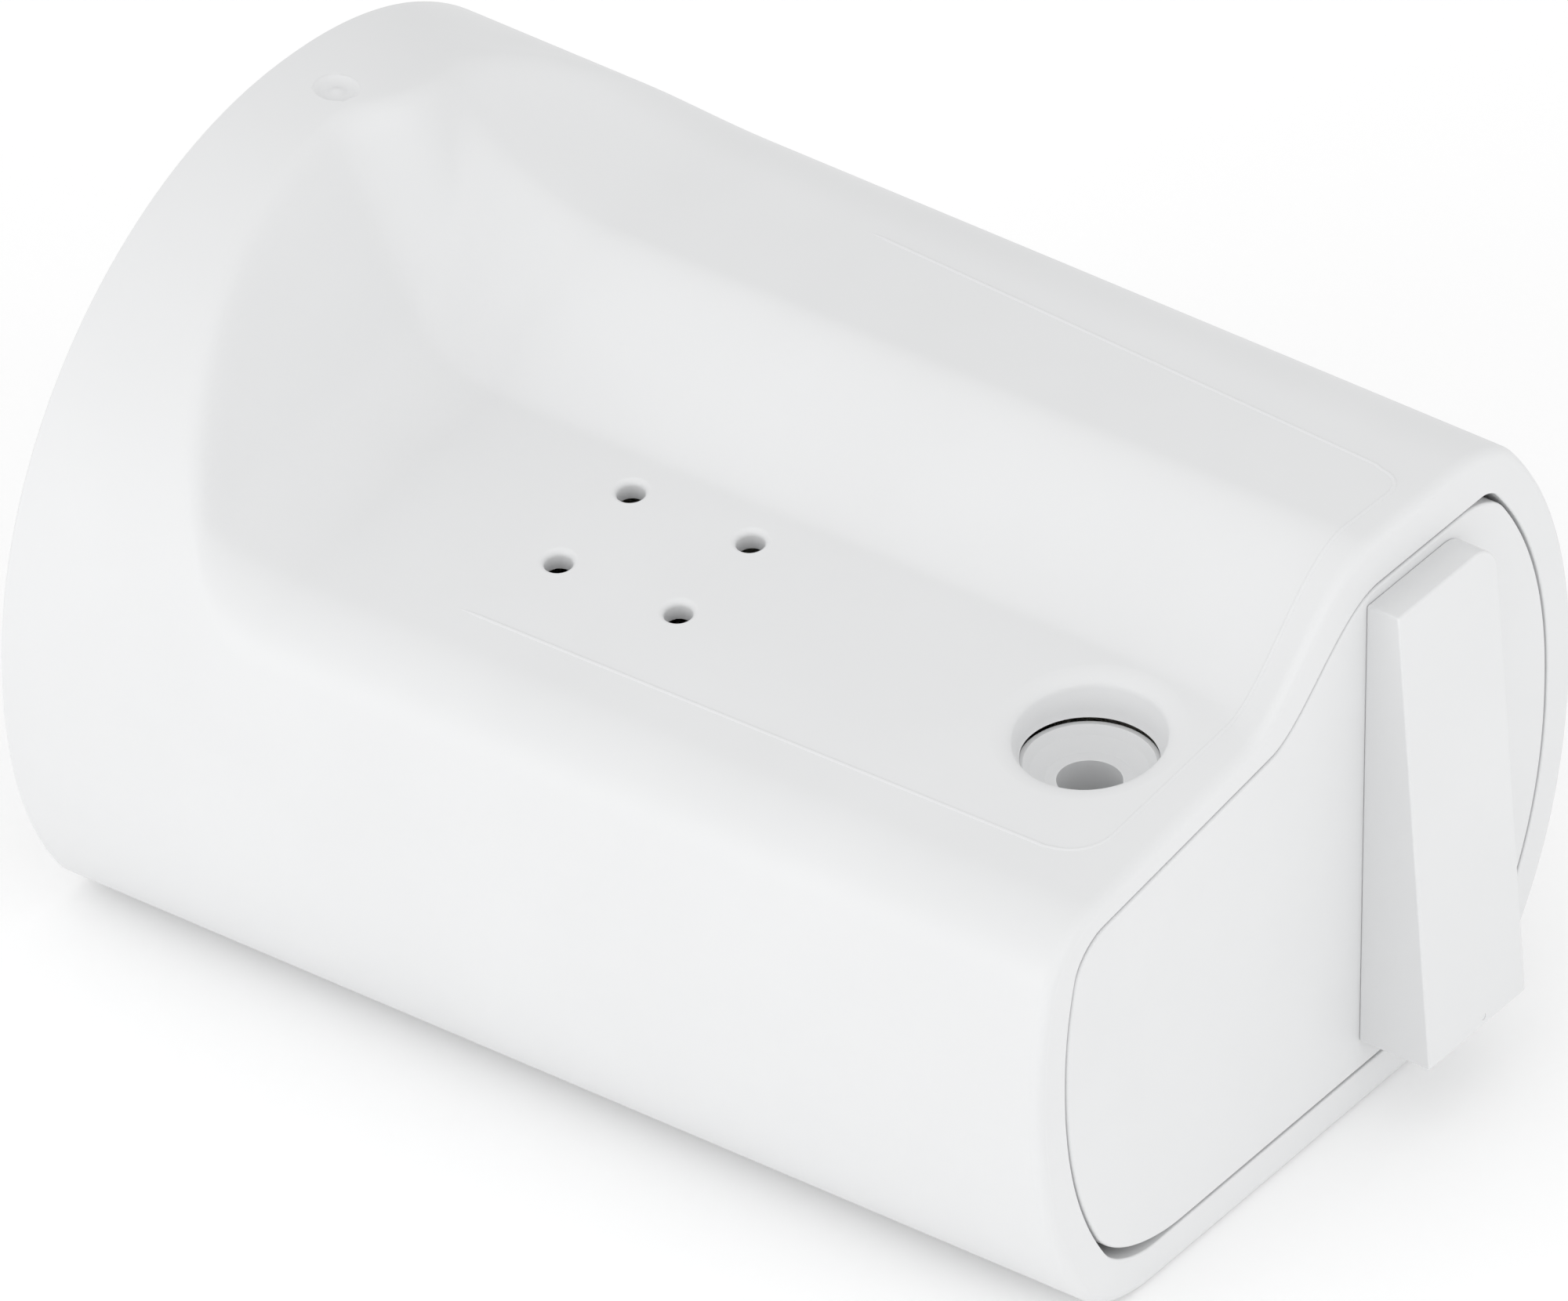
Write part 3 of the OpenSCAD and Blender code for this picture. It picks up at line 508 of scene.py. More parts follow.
# Woven cloth: thread relief, painted shade where the threads dip low, a tone for each thread direction, and
# slubs.
def wovenCloth(name, look):
    material, tree, shader = newMaterial(name, look["rough"], look["specular"])
    shader.inputs["Sheen Weight"].default_value = look["sheen"]
    shader.inputs["Sheen Roughness"].default_value = 0.45
    weave = placeGroup(tree, "weave", {"Warp": look["warp"], "Weft": look["weft"]})
    cloth = addNode(tree, "UVMap", uv_map="clothWay").outputs["UV"]
    threadWay = addNode(tree, "Mapping", {"Vector": cloth, "Scale": (1, 12, 1)}).outputs["Vector"]
    slub = noiseOf(tree, threadWay, 60.0, 4.0)
    # Painted shade: the low parts of the weave are darkened towards the under tone.
    shade = mixed(tree, look["colour"], look["under"], stepped(tree, weave["Height"], 0.55, 0.1))
    shade = mixed(tree, shade, look["other"], maths(tree, "MULTIPLY", weave["Thread"], 0.35))
    # Slubs: random darker stretches of yarn, drawn in the same under tone.
    slubs = maths(tree, "MULTIPLY", stepped(tree, slub, 0.55, 0.75), 0.3)
    shade = mixed(tree, shade, look["under"], slubs)
    tree.links.new(shade, shader.inputs["Base Color"])
    rough = maths(tree, "MULTIPLY_ADD", weave["Height"], -0.15, look["rough"] + 0.08)
    tree.links.new(rough, shader.inputs["Roughness"])
    bumped(tree, shader, weave["Height"], look["relief"])
    return material


whitePlastic = mouldedPlastic("satinWhitePlastic", (0.760, 0.765, 0.770), dict(
    rough=0.42, grains=2600.0, dust=0.02, depth=0.006, pit=(0.34, 0.29, 0.27)))
innerPlastic = mouldedPlastic("smoothInnerPlastic", (0.70, 0.70, 0.68), dict(
    rough=0.34, grains=3600.0, dust=0.10, depth=0.003, pit=(0.45, 0.43, 0.4)))
waxyPlastic = mouldedPlastic("waxyStripPlastic", (0.74, 0.69, 0.56), dict(
    rough=0.30, grains=1500.0, dust=0.05, depth=0.004, pit=(0.5, 0.46, 0.38)))
zincSteel = metalFinish("zincSteel", (0.62, 0.64, 0.67), dict(
    rough=0.34, stretch=(1, 1, 1), bloom=(0.52, 0.55, 0.6)))
barSteel = metalFinish("drawnBarSteel", (0.66, 0.67, 0.68), dict(
    rough=0.28, stretch=(0.04, 1, 1), bloom=(0.58, 0.59, 0.6)))
springSteel = metalFinish("temperedSpringSteel", (0.36, 0.37, 0.40), dict(
    rough=0.30, stretch=(1, 0.05, 1), bloom=(0.28, 0.29, 0.34)))
bumperRubber = rubberFinish()
# Each cloth's under tone is painted shade for the low parts of its weave, and also the tone of its slubs.
glassCloth = wovenCloth("glassCloth", dict(
    colour=(0.78, 0.75, 0.66), other=(0.84, 0.82, 0.74), under=(0.55, 0.52, 0.44), rough=0.55,
    specular=0.45, sheen=0.15, warp=3927.0, weft=3927.0, relief=0.10))
redWebbing = wovenCloth("redWebbing", dict(
    colour=(0.42, 0.025, 0.02), other=(0.52, 0.045, 0.035), under=(0.16, 0.01, 0.01), rough=0.62,
    specular=0.3, sheen=0.3, warp=2244.0, weft=4488.0, relief=0.22))
stitchThread = mouldedPlastic("stitchThread", (0.72, 0.70, 0.64), dict(
    rough=0.6, grains=9000.0, dust=0.0, depth=0.02, pit=(0.6, 0.58, 0.5)))
print("materials ready")


def dress(piece, material, body, slot, *nodes):
    piece.data.materials.clear()
    piece.data.materials.append(material)
    if nodes:
        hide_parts(*nodes)
    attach(piece, body)


# Case shell.

# Rings stand close at the mouth and through the scoop, and wide along the plain run between.
shellGrid = dict(
    around=360, mouthRings=6, rearRings=4, rimRings=4, mouthRun=26, mouthStep=1.3, plainStep=4.5,
    scoopRun=37, scoopStep=0.7, crownStep=2.0)


def buildShell():
    s, m, grid = caseShape, mouthShape, shellGrid
    angles = sectionAngles(grid["around"])
    scoopAt = caseLen - max(s["scoopBack"])
    rings = []
    for t in np.linspace(90, 0, grid["mouthRings"]):
        off = s["edgeR"] * (1 - math.cos(math.radians(t)))
        back = s["edgeR"] * (1 - math.sin(math.radians(t)))
        rings.append(skinRing(outerDepth(off), angles, back))
    outerStops = np.r_[
        np.arange(2 * grid["mouthStep"], grid["mouthRun"], grid["mouthStep"]),
        np.arange(grid["mouthRun"] + 2, scoopAt - 1, grid["plainStep"]),
        np.arange(scoopAt, scoopAt + grid["scoopRun"], grid["scoopStep"]),
        np.arange(scoopAt + grid["scoopRun"] + 1.5, caseLen - 1.5, grid["crownStep"])]
    for u in outerStops:
        rings.append(skinRing(outerDepth(), angles, u))
    for t in np.linspace(0, 90, grid["rearRings"]):
        off = s["rearEdgeR"] * (1 - math.cos(math.radians(t)))
        ahead = s["rearEdgeR"] * (1 - math.sin(math.radians(t)))
        rings.append(skinRing(outerDepth(off), angles, caseLen - ahead))
    innerStops = np.r_[                                 # coarser, as only an open drawer shows them
        caseLen, np.arange(caseLen - 3, scoopAt + 36, -4), np.arange(scoopAt + 36, scoopAt, -1.5),
        np.arange(scoopAt - 2, 30, -8), np.arange(grid["mouthRun"], m["rimDepth"], -3), m["rimDepth"]]
    for u in innerStops:
        rings.append(skinRing(innerDepth(), angles, u))
    rings.append(skinRing(mouthDepth(), angles, m["rimDepth"]))
    for t in np.linspace(0, 90, grid["rimRings"]):
        out = m["edgeR"] * (1 - math.cos(math.radians(t)))
        back = m["edgeR"] * (1 - math.sin(math.radians(t)))
        rings.append(skinRing(mouthDepth(-out), angles, back))
    points = [p for ring in rings for p in ring]
    shell = meshPiece("caseShell", points, ringFaces(len(rings), len(angles), True))
    facesOut(shell)
    return shell


recess = dict(
    x=-23.0, back=21.7, topR=13.25, lowR=9.9, depth=4.8, lipR=3.6, lipH=1.6, brim=1.3,
    collarR=12.5, nutR=10.5, nutDepth=2.1, spigotR=6.0, spigotDepth=6.0)
vents = dict(x=-23.4, back=96.6, pitchX=17.3, pitchY=20.9, r=2.05, lip=1.0, depth=6.0)
dimple = dict(back=10.5, r=3.5, depth=0.8, pipR=1.1, pipRise=0.25)
bosses = dict(r=4.0, length=9.0, sink=3.2, coverBack=8.0, pilotR=1.48, pilotDepth=7.0)


# The recess's lip lies on the sloping shelf, and its throat is level.
def recessLean(h):
    levelled = (h + recess["depth"]) / (recess["depth"] - 1.2)
    return caseShape["shelfFall"] * min(1, max(0, levelled))


# A wide soft lip, a bowl that steepens, and a short straight throat.
def recessCutter():
    f = recess
    low, deep = f["lowR"], f["depth"]
    rim = f["topR"] + f["brim"]
    lipStart = rim - 0.1 - f["lipR"]                    # where the bowl ends and the lip begins
    profile = [(0, -deep - 3), (low, -deep - 3), (low, -deep)]
    for t in np.linspace(0, 1, 9)[1:]:
        profile.append((
            low + 0.2 + (lipStart - 0.2 - low) * t ** 1.5, -deep + 0.15 + (deep - 0.15 - f["lipH"]) * t))
    for t in np.linspace(0.15, 1, 9):
        a = math.radians(88 * t)
        profile.append((
            lipStart + f["lipR"] * (1 - math.cos(a)), -f["lipH"] + (f["lipH"] + 0.02) * math.sin(a)))
    profile += [(rim, 0.3), (rim, 3), (0, 3)]
    return revolved(
        "recessCutter", profile, f["x"], f["back"], shelfAt(f["x"]), steps=128, lean=recessLean)


def ventCutters():
    v = vents
    cutters = []
    for i in (-1, 1):
        for j in (-1, 1):
            profile = [(0, -v["depth"]), (v["r"], -v["depth"]), (v["r"], -v["lip"])]
            for t in np.linspace(15, 86, 6):
                a = math.radians(t)
                out, down = v["lip"] * (1 - math.cos(a)), v["lip"] * (1 - math.sin(a)) - 0.004
                profile.append((v["r"] + out, -down))
            profile += [(v["r"] + v["lip"] + 0.05, 1), (0, 1)]
            x = v["x"] + i * v["pitchX"] / 2
            cutters.append(revolved(
                "ventCutter", profile, x, v["back"] + j * v["pitchY"] / 2, shelfAt(x), steps=56,
                lean=lambda h: caseShape["shelfFall"]))
    return cutters


def dimpleCutter():
    d = dimple
    depth = caseLen - d["back"]
    crown = skinRing(outerDepth(), np.array([math.pi / 2]), depth)[0][2]
    r, deep, pip = d["r"], d["depth"], d["pipR"]
    profile = [
        (0, d["pipRise"] - deep), (pip * 0.7, d["pipRise"] - 0.03 - deep), (pip, -deep),
        (r - 1.5, -deep), (r - 0.9, -deep * 0.8), (r - 0.4, -deep * 0.35), (r, 0.03),
        (r + 0.4, 1.2), (0, 1.2)]
    return revolved("dimpleCutter", profile, 0, depth, crown, steps=64)


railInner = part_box("runner_rail_right")[0].x / mm     # the lower bosses stand inboard of the rails


def coverScrewPlaces():
    s = caseShape
    coverU = caseLen - bosses["coverBack"]
    wallward = skinRing(innerDepth(bosses["sink"]), np.radians([40, 140]), coverU)
    high = [(x, z) for x, y, z in wallward]
    low = [(o * (railInner - bosses["r"] - 1), s["floor"] + bosses["sink"] + 0.5) for o in (-1, 1)]
    return high + low, coverU


def finishShell(shell):
    f = recess
    places, coverU = coverScrewPlaces()
    adds = [revolved(
        "collar", [(0, -f["depth"]), (f["collarR"], -f["depth"]), (f["collarR"], -1.5), (0, -1.5)],
        f["x"], f["back"], shelfAt(f["x"]), steps=128, lean=recessLean)]
    for x, z in places:
        adds.append(revolved(
            "boss", [(0, 0), (bosses["r"], 0), (bosses["r"], bosses["length"]), (0, bosses["length"])],
            x, coverU - bosses["length"], z, steps=40, axis="Y"))
    combine(shell, joinPieces("adds", adds), "UNION")
    cuts = [recessCutter(), dimpleCutter(), *ventCutters()]
    cuts.append(revolved(
        "nutPocket",
        [(0, -1), (f["nutR"], -1), (f["nutR"], f["nutDepth"]), (f["spigotR"], f["nutDepth"]),
         (f["spigotR"], f["spigotDepth"]), (0, f["spigotDepth"])],
        f["x"], f["back"], 0, steps=96))
    r, deep = bosses["pilotR"], bosses["pilotDepth"]
    for x, z in places:
        cuts.append(revolved(
            "pilot", [(0, -deep), (r, -deep), (r, 2), (0, 2)],
            x, coverU, z, steps=24, axis="Y"))
    combine(shell, joinPieces("cuts", cuts), "DIFFERENCE")
    smoothShade(shell, 40)
    evenNormals(shell)
    dress(shell, whitePlastic, "case", "case_white", "case_shell")
    print("case shell:", len(shell.data.polygons), "faces")


finishShell(buildShell())

# Parting-line bead: a hair-thin raised line that runs round the shelf and over the ramp.
witness = dict(r=0.48, sunk=0.34, sides=12, shelfX=-45.5, shelfDrift=-1.9, shelfEnd=119.4, front=5.3,
               frontDrift=-0.028, cornerR=7.0, lobeX=29.0, lobeDrift=6.0, lobeEnd=107.0, cornerLobe=4.0)


# How high the case's top is over a place, by halving.
def topSurface(x, u):
    depth = outerDepth()
    low, high = 60.0, 130.0
    for _ in range(30):
        middle = (low + high) / 2
        inside = depth(np.array(x), np.array(middle), np.array(u)) > 0
        low, high = (middle, high) if inside else (low, middle)
    return (low + high) / 2


# A round tube along a path, drawn thinner over the first and last few points.
def tubeAlong(name, path, radius, sides):
    points, faces = [], []
    count = len(path)
    for k, p in enumerate(path):
        along = (path[min(k + 1, count - 1)] - path[max(k - 1, 0)]).normalized()
        side = along.cross(Vector((0, 0, 1))).normalized()
        up = side.cross(along)
        thin = min(1.0, 0.25 + 0.75 * min(k, count - 1 - k) / 4)
        for i in range(sides):
            a = 2 * math.pi * i / sides
            points.append(tuple(p + (side * math.cos(a) + up * math.sin(a)) * radius * thin))
    for k in range(count - 1):
        for i in range(sides):
            j = (i + 1) % sides
            faces.append((k * sides + i, k * sides + j, (k + 1) * sides + j, (k + 1) * sides + i))
    faces.append(tuple(range(sides)))
    faces.append(tuple(range((count - 1) * sides, count * sides)))
    piece = meshPiece(name, points, faces)
    facesOut(piece)
    smoothShade(piece, 60)
    return piece


def buildWitness():
    w = witness
    probe = 0.3                                          # half the span over which the slope is taken
    plan = []
    left = w["shelfX"] + w["cornerR"]                    # where the front line starts and ends
    right = w["lobeX"] - w["cornerLobe"]
    nearLeft, nearRight = (w["front"] + w["frontDrift"] * x for x in (left, right))
    for t in np.linspace(w["shelfEnd"], nearLeft + w["cornerR"], 46):
        plan.append((w["shelfX"] + w["shelfDrift"] * (t / w["shelfEnd"]), t))
    for x, u in arc(left, nearLeft + w["cornerR"], w["cornerR"], 180, 270, 12)[1:]:
        plan.append((x, u))
    for x in np.arange(left + 1.2, right, 1.2):
        plan.append((x, w["front"] + w["frontDrift"] * x))
    for x, u in arc(right, nearRight + w["cornerLobe"], w["cornerLobe"], -90, 0, 8):
        plan.append((x, u))
    for t in np.linspace(nearRight + w["cornerLobe"] + 1.5, w["lobeEnd"], 44):
        plan.append((w["lobeX"] + w["lobeDrift"] * (t / w["lobeEnd"]), t))
    path = []
    for x, u in plan:
        slope = (topSurface(x + probe, u) - topSurface(x - probe, u)) / (2 * probe)
        normal = Vector((-slope, 0, 1)).normalized()
        path.append(Vector((x, mouthY + u, topSurface(x, u))) - normal * w["sunk"])
    line = tubeAlong("partingBead", path, w["r"], w["sides"])
    dress(line, whitePlastic, "case", "case_white")


buildWitness()

# Closure panel and grip.

panelShape = dict(gap=0.45, baseBlend=9.0, topBlend=(5.0, 4.2), thick=4.0, edgeR=0.45)
gripShape = dict(x=13.0, w=24.0, low=12.0, high=87.6, outTop=5.5, outLow=12.2, cornerR=5.0, edgeR=0.35,
                 gateX=26.6, gateZ=13.4, gateR=0.55, gateDepth=0.1)


def buildPanel():
    p = panelShape
    angles = sectionAngles(shellGrid["around"])
    rings = []
    for t in np.linspace(0, 90, 5):
        off = p["edgeR"] * (1 - math.sin(math.radians(t)))
        back = p["edgeR"] * (1 - math.cos(math.radians(t)))
        rings.append(skinRing(mouthDepth(p["gap"] + off, p["baseBlend"], p["topBlend"]), angles, back))
    rings.append(skinRing(mouthDepth(p["gap"], p["baseBlend"], p["topBlend"]), angles, p["thick"]))
    size = len(angles)
    faces = ringFaces(len(rings), size, False)
    faces.append(tuple(range(size)))
    faces.append(tuple(reversed(range((len(rings) - 1) * size, len(rings) * size))))
    panel = meshPiece("closurePanel", [q for ring in rings for q in ring], faces)
    facesOut(panel)
    smoothShade(panel, 30)
    evenNormals(panel)
    dress(panel, whitePlastic, "drawer", "case_white", "closure_panel")


def buildGrip():
    g = gripShape
    right, r = g["x"] + g["w"], g["cornerR"]
    outline = [(g["x"], g["low"]), (right, g["low"])]
    outline += arc(right - r, g["high"] - r, r, 0, 90, 14)
    outline += [(g["x"], g["high"])]
    count = len(outline)

    def frontOf(z):
        t = (z - g["low"]) / (g["high"] - g["low"])
        return g["outLow"] + (g["outTop"] - g["outLow"]) * t
    points = [(x, mouthY, z) for x, z in outline] + [(x, mouthY - frontOf(z), z) for x, z in outline]
    faces = [tuple(range(count)), tuple(reversed(range(count, 2 * count)))]
    for i in range(count):
        j = (i + 1) % count
        faces.append((i, j, count + j, count + i))
    grip = meshPiece("pullGrip", points, faces)
    facesOut(grip)
    softEdges(grip, g["edgeR"], 3, 25)
    applyModifiers(grip)
    gate = [(0, -3), (g["gateR"], -3), (g["gateR"], g["gateDepth"]), (0, g["gateDepth"])]
    combine(grip, revolved(
        "gateMark", gate, g["gateX"], -frontOf(g["gateZ"]), g["gateZ"], axis="Y", steps=24), "DIFFERENCE")
    smoothShade(grip, 50)
    evenNormals(grip)
    dress(grip, whitePlastic, "drawer", "case_white", "pull_grip")


buildPanel()
buildGrip()
print("panel and grip built")

# Hardware and mouldings that keep their CAD shape: each gets a small edge radius and its finish.
hardware = dict(
    rear_cover=(whitePlastic, 0.35), screw_post=(whitePlastic, 0.25), post_ring_nut=(innerPlastic, 0.2),
    runner_rail_left=(innerPlastic, 0.2), runner_rail_right=(innerPlastic, 0.2),
    blanket_tray=(innerPlastic, 0.3), slide_strip_left=(waxyPlastic, 0.15),
    slide_strip_right=(waxyPlastic, 0.15), rear_cover_screws=(zincSteel, 0.12),
    rail_screws=(zincSteel, 0.08), catch_spring_screw=(zincSteel, 0.12), grip_screws=(zincSteel, 0.12),
    tray_screws=(zincSteel, 0.12), tape_bar=(barSteel, 0.3), stop_bumper_left=(bumperRubber, 0.4),
    stop_bumper_right=(bumperRubber, 0.4))


def finishHardware():
    for name, (material, width) in hardware.items():
        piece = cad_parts[name]
        piece.data.materials.clear()
        piece.data.materials.append(material)
        softEdges(piece, width, 3 if width > 0.2 else 2, 32, harden=True)


finishHardware()
print("hardware finished:", len(hardware), "nodes")

# Leaf spring that grips the drawer's floor; it is built in its free shape.
spring = dict(
    w=8.0, t=0.5, x=8.0, u=62.0, len=46.0, flatBack=6.0, flatAhead=4.5, bumpLen=8.0, tip=2.0,
    floor=4.0, freeZ=6.8, rise=1.7, holeR=1.7, flattened=0.66)


def buildSpring():
    s = spring
    bumpAt = s["len"] - s["tip"] - s["bumpLen"]
    under = s["freeZ"] - s["t"]                         # the leaf's underside beside the bump
    line = [(-s["flatBack"], s["floor"]), (s["flatAhead"], s["floor"])]
    line += [(s["flatAhead"] + 3 * t, s["floor"] + 0.09 * t * t) for t in (0.5, 1.0)]
    line += [(bumpAt - 2.6, under - 0.06), (bumpAt - 1.2, under)]
    for t in np.linspace(0, 1, 15):
        line.append((bumpAt + s["bumpLen"] * t, under + s["rise"] * abs(math.sin(math.pi * t)) ** 1.3))
    line += [(s["len"] - 0.8, under - 0.2), (s["len"], under - 0.4)]
    across = np.linspace(-s["w"] / 2, s["w"] / 2, 7)
    points, faces = [], []
    for layer in (0.0, s["t"]):
        for u, z in line:
            for x in across:
                points.append((s["x"] + x, mouthY + s["u"] + u, z + layer))
    n, m = len(line), len(across)
    for k in range(n - 1):
        for i in range(m - 1):
            a, b = k * m + i, (k + 1) * m + i
            faces.append((a, a + 1, b + 1, b))
            faces.append((n * m + a, n * m + b, n * m + b + 1, n * m + a + 1))
        for i in (0, m - 1):
            a, b = k * m + i, (k + 1) * m + i
            faces.append((a, b, n * m + b, n * m + a))
    for k in (0, n - 1):
        for i in range(m - 1):
            a = k * m + i
            faces.append((a, a + 1, n * m + a + 1, n * m + a))
    leaf = meshPiece("catchSpring", points, faces)
    facesOut(leaf)
    combine(leaf, revolved(
        "springHole", [(0, -1), (s["holeR"], -1), (s["holeR"], 3), (0, 3)], s["x"], s["u"], s["floor"],
        steps=32), "DIFFERENCE")
    softEdges(leaf, 0.1, 2, 40)
    applyModifiers(leaf)
    smoothShade(leaf, 40)
    dress(leaf, springSteel, "case", "spring_steel", "catch_spring")
    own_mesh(leaf)


buildSpring()
print("catch spring built")

# What the blanket and the tapes share: faces of a sheet, its weave directions and its thickness.

def sheetFaces(rows, across):
    faces = []
    for k in range(rows - 1):
        for i in range(across - 1):
            a, b = k * across + i, (k + 1) * across + i
            faces.append((a, a + 1, b + 1, b))
    return faces


def layWeave(piece, ways):
    layer = piece.data.uv_layers.new(name="clothWay")
    for loop in piece.data.loops:
        layer.data[loop.index].uv = ways[loop.vertex_index]


def thicken(piece, thickness):
    thick = piece.modifiers.new("thick", "SOLIDIFY")
    thick.thickness = thickness * mm
    thick.offset = 0


# The blanket: folded in seven along its length, and that stack folded to and fro across the bin.
blanket = dict(
    cut=1000.0, thick=0.26, layers=7, folds=18, left=-9.2, right=46.2, footRight=33.4, footZ=12.6,
    flareZ=27.2, front=10.9, back=152.9, low=10.35, high=70.2, gap=0.46, bendRun=0.6, bulge=0.45,
    wave=0.16)


# Along the length: where each point of the cloth lies, and which layer it is in.
def lengthwise(b, count):
    first, last = b["front"] + b["bendRun"], b["back"] - b["bendRun"]
    stops = []
    for layer in range(b["layers"]):
        ends = np.linspace(0, 1, count)
        for t in ends if layer % 2 == 0 else 1 - ends:
            stops.append((first + (last - first) * t, float(layer)))
        if layer < b["layers"] - 1:
            edge, way = (last, 1) if layer % 2 == 0 else (first, -1)
            for a in (45, 90, 135):
                uneven = 0.8 + 0.4 * math.sin(layer * 2.1)
                bulge = b["bulge"] * math.sin(math.radians(a)) * uneven
                stops.append((edge + way * bulge, layer + 0.5 - 0.5 * math.cos(math.radians(a))))
    return stops


def buildBlanket():
    b = blanket
    stackH = (b["layers"] - 1) * b["gap"]
    pitch = (b["high"] - b["low"] - stackH) / (b["folds"] - 1)
    along = lengthwise(b, 13)
    columns = []            # each is (x, height of a layer) along the second fold
    for fold in range(b["folds"]):
        base = b["low"] + pitch * fold
        lift = min(1, max(0, (base - b["footZ"]) / (b["flareZ"] - b["footZ"])))
        right = b["footRight"] + (b["right"] - b["footRight"]) * lift - stackH / 2
        left = b["left"] + stackH / 2 + 0.2
        flip = fold % 2 == 1
        xs = np.linspace(left, right, 9)
        for x in xs[::-1] if flip else xs:
            columns.append(("flat", x, base, flip, 0))
        if fold < b["folds"] - 1:
            centre = base + stackH + (pitch - stackH) / 2
            way = -1 if flip else 1
            edge = left if flip else right
            for a in (-60, -30, 0, 30, 60):
                columns.append(("bend", edge, centre, way, a))
    points, ways = [], []
    for i, (kind, x, z, turn, a) in enumerate(columns):
        wide = i / (len(columns) - 1) * b["cut"]         # the cloth's own measures, as if laid flat
        for j, (y, layer) in enumerate(along):
            length = j / (len(along) - 1) * b["cut"]
            sway = b["wave"] * (math.sin(y * 0.11 + z * 0.7) + 0.6 * math.sin(x * 0.17 - z * 1.3 + y * 0.05))
            h = layer * b["gap"]
            if kind == "flat":
                h = stackH - h if turn else h
                points.append((x + 0.4 * sway, mouthY + y + 0.3 * sway, z + h + 0.5 * sway))
            else:
                inner = (pitch - stackH) / 2
                r = inner + (stackH - h)
                flat = 0.62 + 0.1 * math.sin(z * 1.9)
                ang = math.radians(a)
                points.append((
                    x + turn * r * flat * math.cos(ang) + 0.4 * sway, mouthY + y + 0.3 * sway,
                    z + r * math.sin(ang) + 0.5 * sway))
            ways.append((wide * mm, length * mm))
    cloth = meshPiece("foldedBlanket", points, sheetFaces(len(columns), len(along)))
    layWeave(cloth, ways)
    thicken(cloth, b["thick"])
    applyModifiers(cloth)
    cloth.data.shade_smooth()
    dress(cloth, glassCloth, "drawer", "glass_cloth", "fire_blanket")
    print("blanket:", len(cloth.data.polygons), "faces")


buildBlanket()

# Hand tapes: webbing doubled over the bar and stitched to itself, with a heat-cut hem at the foot.
tapes = dict(
    w=18.0, t=0.8, low=26.2, hem=1.5, barU=7.6, barZ=66.0, barR=1.5, joinZ=58.0,
    legGap=0.04, barGap=0.06)
stitching = dict(
    rows=3, perRow=6, drop=2.5, rowPitch=2.4, inset=2.0, pitch=2.6, length=1.5, arch=0.12, r=0.22)


# Up the front leg, over the bar and down the back leg, which ends a hem higher.
def tapePath(t):
    half = t["t"] / 2 + t["legGap"]
    wrap = t["barR"] + t["t"] / 2 + t["barGap"]

    def leg(side, foot):
        path = [(half, foot + (t["joinZ"] - foot) * k / 9) for k in range(10)]
        for e in (0.3, 0.6, 0.85):
            path.append((half + (wrap - half) * e, t["joinZ"] + (t["barZ"] - t["joinZ"]) * e))
        return [(t["barU"] + side * out, z) for out, z in path]
    over = arc(t["barU"], t["barZ"], wrap, 180, 0, 13)
    return leg(-1, t["low"]) + over + leg(1, t["low"] + t["hem"])[::-1]


def buildTape(name, node, left):
    t = tapes
    path = tapePath(t)
    across = np.linspace(0, t["w"], 13)
    points, ways = [], []
    length = 0.0
    for k, (u, z) in enumerate(path):
        if k:
            length += math.dist(path[k - 1], path[k])
        for x in across:
            ripple = 0.05 * math.sin(z * 0.35 + x * 0.5 + left)
            points.append((left + x, mouthY + u + ripple, z))
            ways.append((x * mm, length * mm))
    tape = meshPiece(name, points, sheetFaces(len(path), len(across)))
    layWeave(tape, ways)
    thicken(tape, t["t"] - 2 * t["legGap"])
    softEdges(tape, 0.18, 2, 50)
    applyModifiers(tape)
    tape.data.shade_smooth()
    dress(tape, redWebbing, "drawer", "webbing_red", node)
    stitches = []
    s = stitching
    front = mouthY + t["barU"] - t["t"] - 0.02
    for row in range(s["rows"]):
        z = t["joinZ"] - s["drop"] - s["rowPitch"] * row
        for k in range(s["perRow"]):
            x = left + s["inset"] + k * s["pitch"]
            path = [Vector((x + s["length"] * e, front - s["arch"] * math.sin(math.pi * e), z))
                    for e in np.linspace(0, 1, 7)]
            stitches.append(tubeAlong("stitch", path, s["r"], 8))
    seam = joinPieces(name + "Stitching", stitches)
    seam.data.shade_smooth()
    dress(seam, stitchThread, "drawer", "webbing_red")


def buildTapes():
    for name, node in (("handTapeLeft", "pull_tape_left"), ("handTapeRight", "pull_tape_right")):
        buildTape(name, node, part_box(node)[0].x / mm)


buildTapes()
print("hand tapes built")

# Floor, light and camera.

studio = dict(
    skyLeft=0.93, skyRight=0.79, skyOverhead=0.09, floorHalf=6000,
    front=dict(place=(-0.15, -1.43, 0.50), size=1.2, power=3.1),
    side=dict(place=(-1.38, 0.48, 0.38), size=1.2, power=4.4))


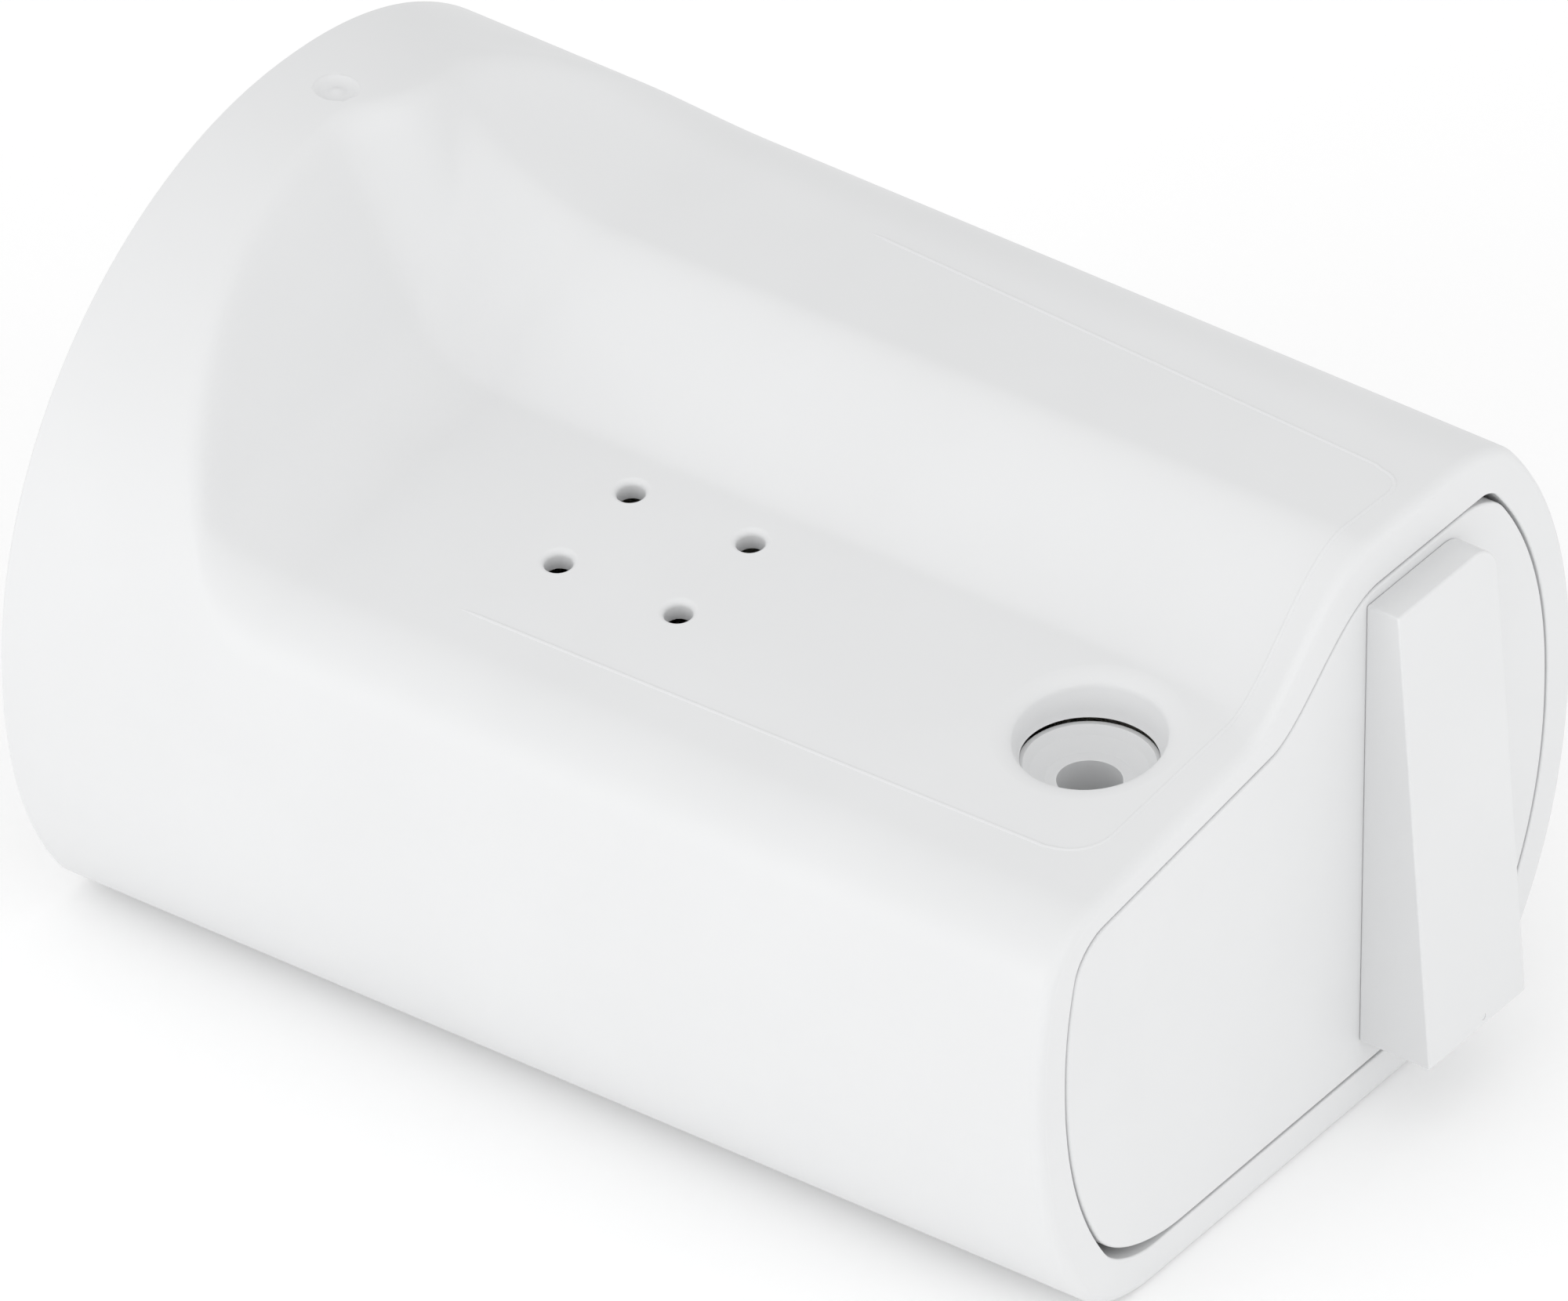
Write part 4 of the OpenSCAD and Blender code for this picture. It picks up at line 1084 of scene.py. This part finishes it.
def buildStage():
    floorMat, tree, shader = newMaterial("paleFloor", 0.9, 0.05)
    place = addNode(tree, "TexCoord").outputs["Object"]
    paper = mixed(tree, (0.99, 0.99, 0.99), (0.98, 0.98, 0.98), noiseOf(tree, place, 9.0, 4.0))
    tree.links.new(paper, shader.inputs["Base Color"])
    shader.inputs["Emission Color"].default_value = (1, 1, 1, 1)
    shader.inputs["Emission Strength"].default_value = 0.05
    h = studio["floorHalf"]
    floor = meshPiece("floor", [(-h, -h, 0), (h, -h, 0), (h, h, 0), (-h, h, 0)], [(0, 1, 2, 3)])
    floor.data.materials.append(floorMat)
    world = bpy.data.worlds.new("softStudio")
    bpy.context.scene.world = world
    world.use_nodes = True
    tree = world.node_tree
    way = addNode(tree, "SeparateXYZ", {"Vector": addNode(tree, "TexCoord").outputs["Generated"]}).outputs
    across = addNode(tree, "MapRange", {
        "Value": way["X"], "From Min": -1.0, "From Max": 1.0,
        "To Min": studio["skyLeft"], "To Max": studio["skyRight"]}).outputs["Result"]
    overhead = maths(tree, "MAXIMUM", way["Z"], 0.0)
    sky = tree.nodes["Background"]
    sky.inputs["Color"].default_value = (1, 1, 1, 1)
    tree.links.new(
        maths(tree, "MULTIPLY_ADD", overhead, studio["skyOverhead"], across), sky.inputs["Strength"])


def areaLight(name, place, target, size, power):
    data = bpy.data.lights.new(name, "AREA")
    data.shape = "DISK"
    data.size = size
    data.energy = power
    lamp = bpy.data.objects.new(name, data)
    bpy.context.scene.collection.objects.link(lamp)
    lamp.location = place
    lamp.rotation_euler = (Vector(target) - Vector(place)).to_track_quat("-Z", "Y").to_euler()


def buildCamera():
    # A long lens, over three metres off, looks down on the mouth and the stepped front.
    view = dict(
        azimuth=-54.0855, elevation=35.469, lens=540.0, back=3.3, right=-0.07373569, up=0.03210284)
    a, e = math.radians(view["azimuth"]), math.radians(view["elevation"])
    rightward = Vector((math.cos(a), math.sin(a), 0))
    backward = Vector((math.sin(a) * math.cos(e), -math.cos(a) * math.cos(e), math.sin(e)))
    upward = backward.cross(rightward)
    mouthCentre = Vector((0, mouthY * mm, caseShape["centreH"] * mm))
    data = bpy.data.cameras.new("camera")
    data.lens = view["lens"]
    data.sensor_width = 36
    data.clip_end = 100
    camera = bpy.data.objects.new("camera", data)
    bpy.context.scene.collection.objects.link(camera)
    aside = rightward * view["right"] + upward * view["up"]
    camera.location = mouthCentre + aside + backward * view["back"]
    camera.rotation_euler = Matrix((rightward, upward, backward)).transposed().to_euler()
    bpy.context.scene.camera = camera


buildStage()
centre = (0, 0, 0.05)
for lampName in ("front", "side"):
    lampLook = studio[lampName]
    areaLight(lampName + "Light", lampLook["place"], centre, lampLook["size"], lampLook["power"])
buildCamera()
bpy.context.scene.view_settings.view_transform = "Standard"
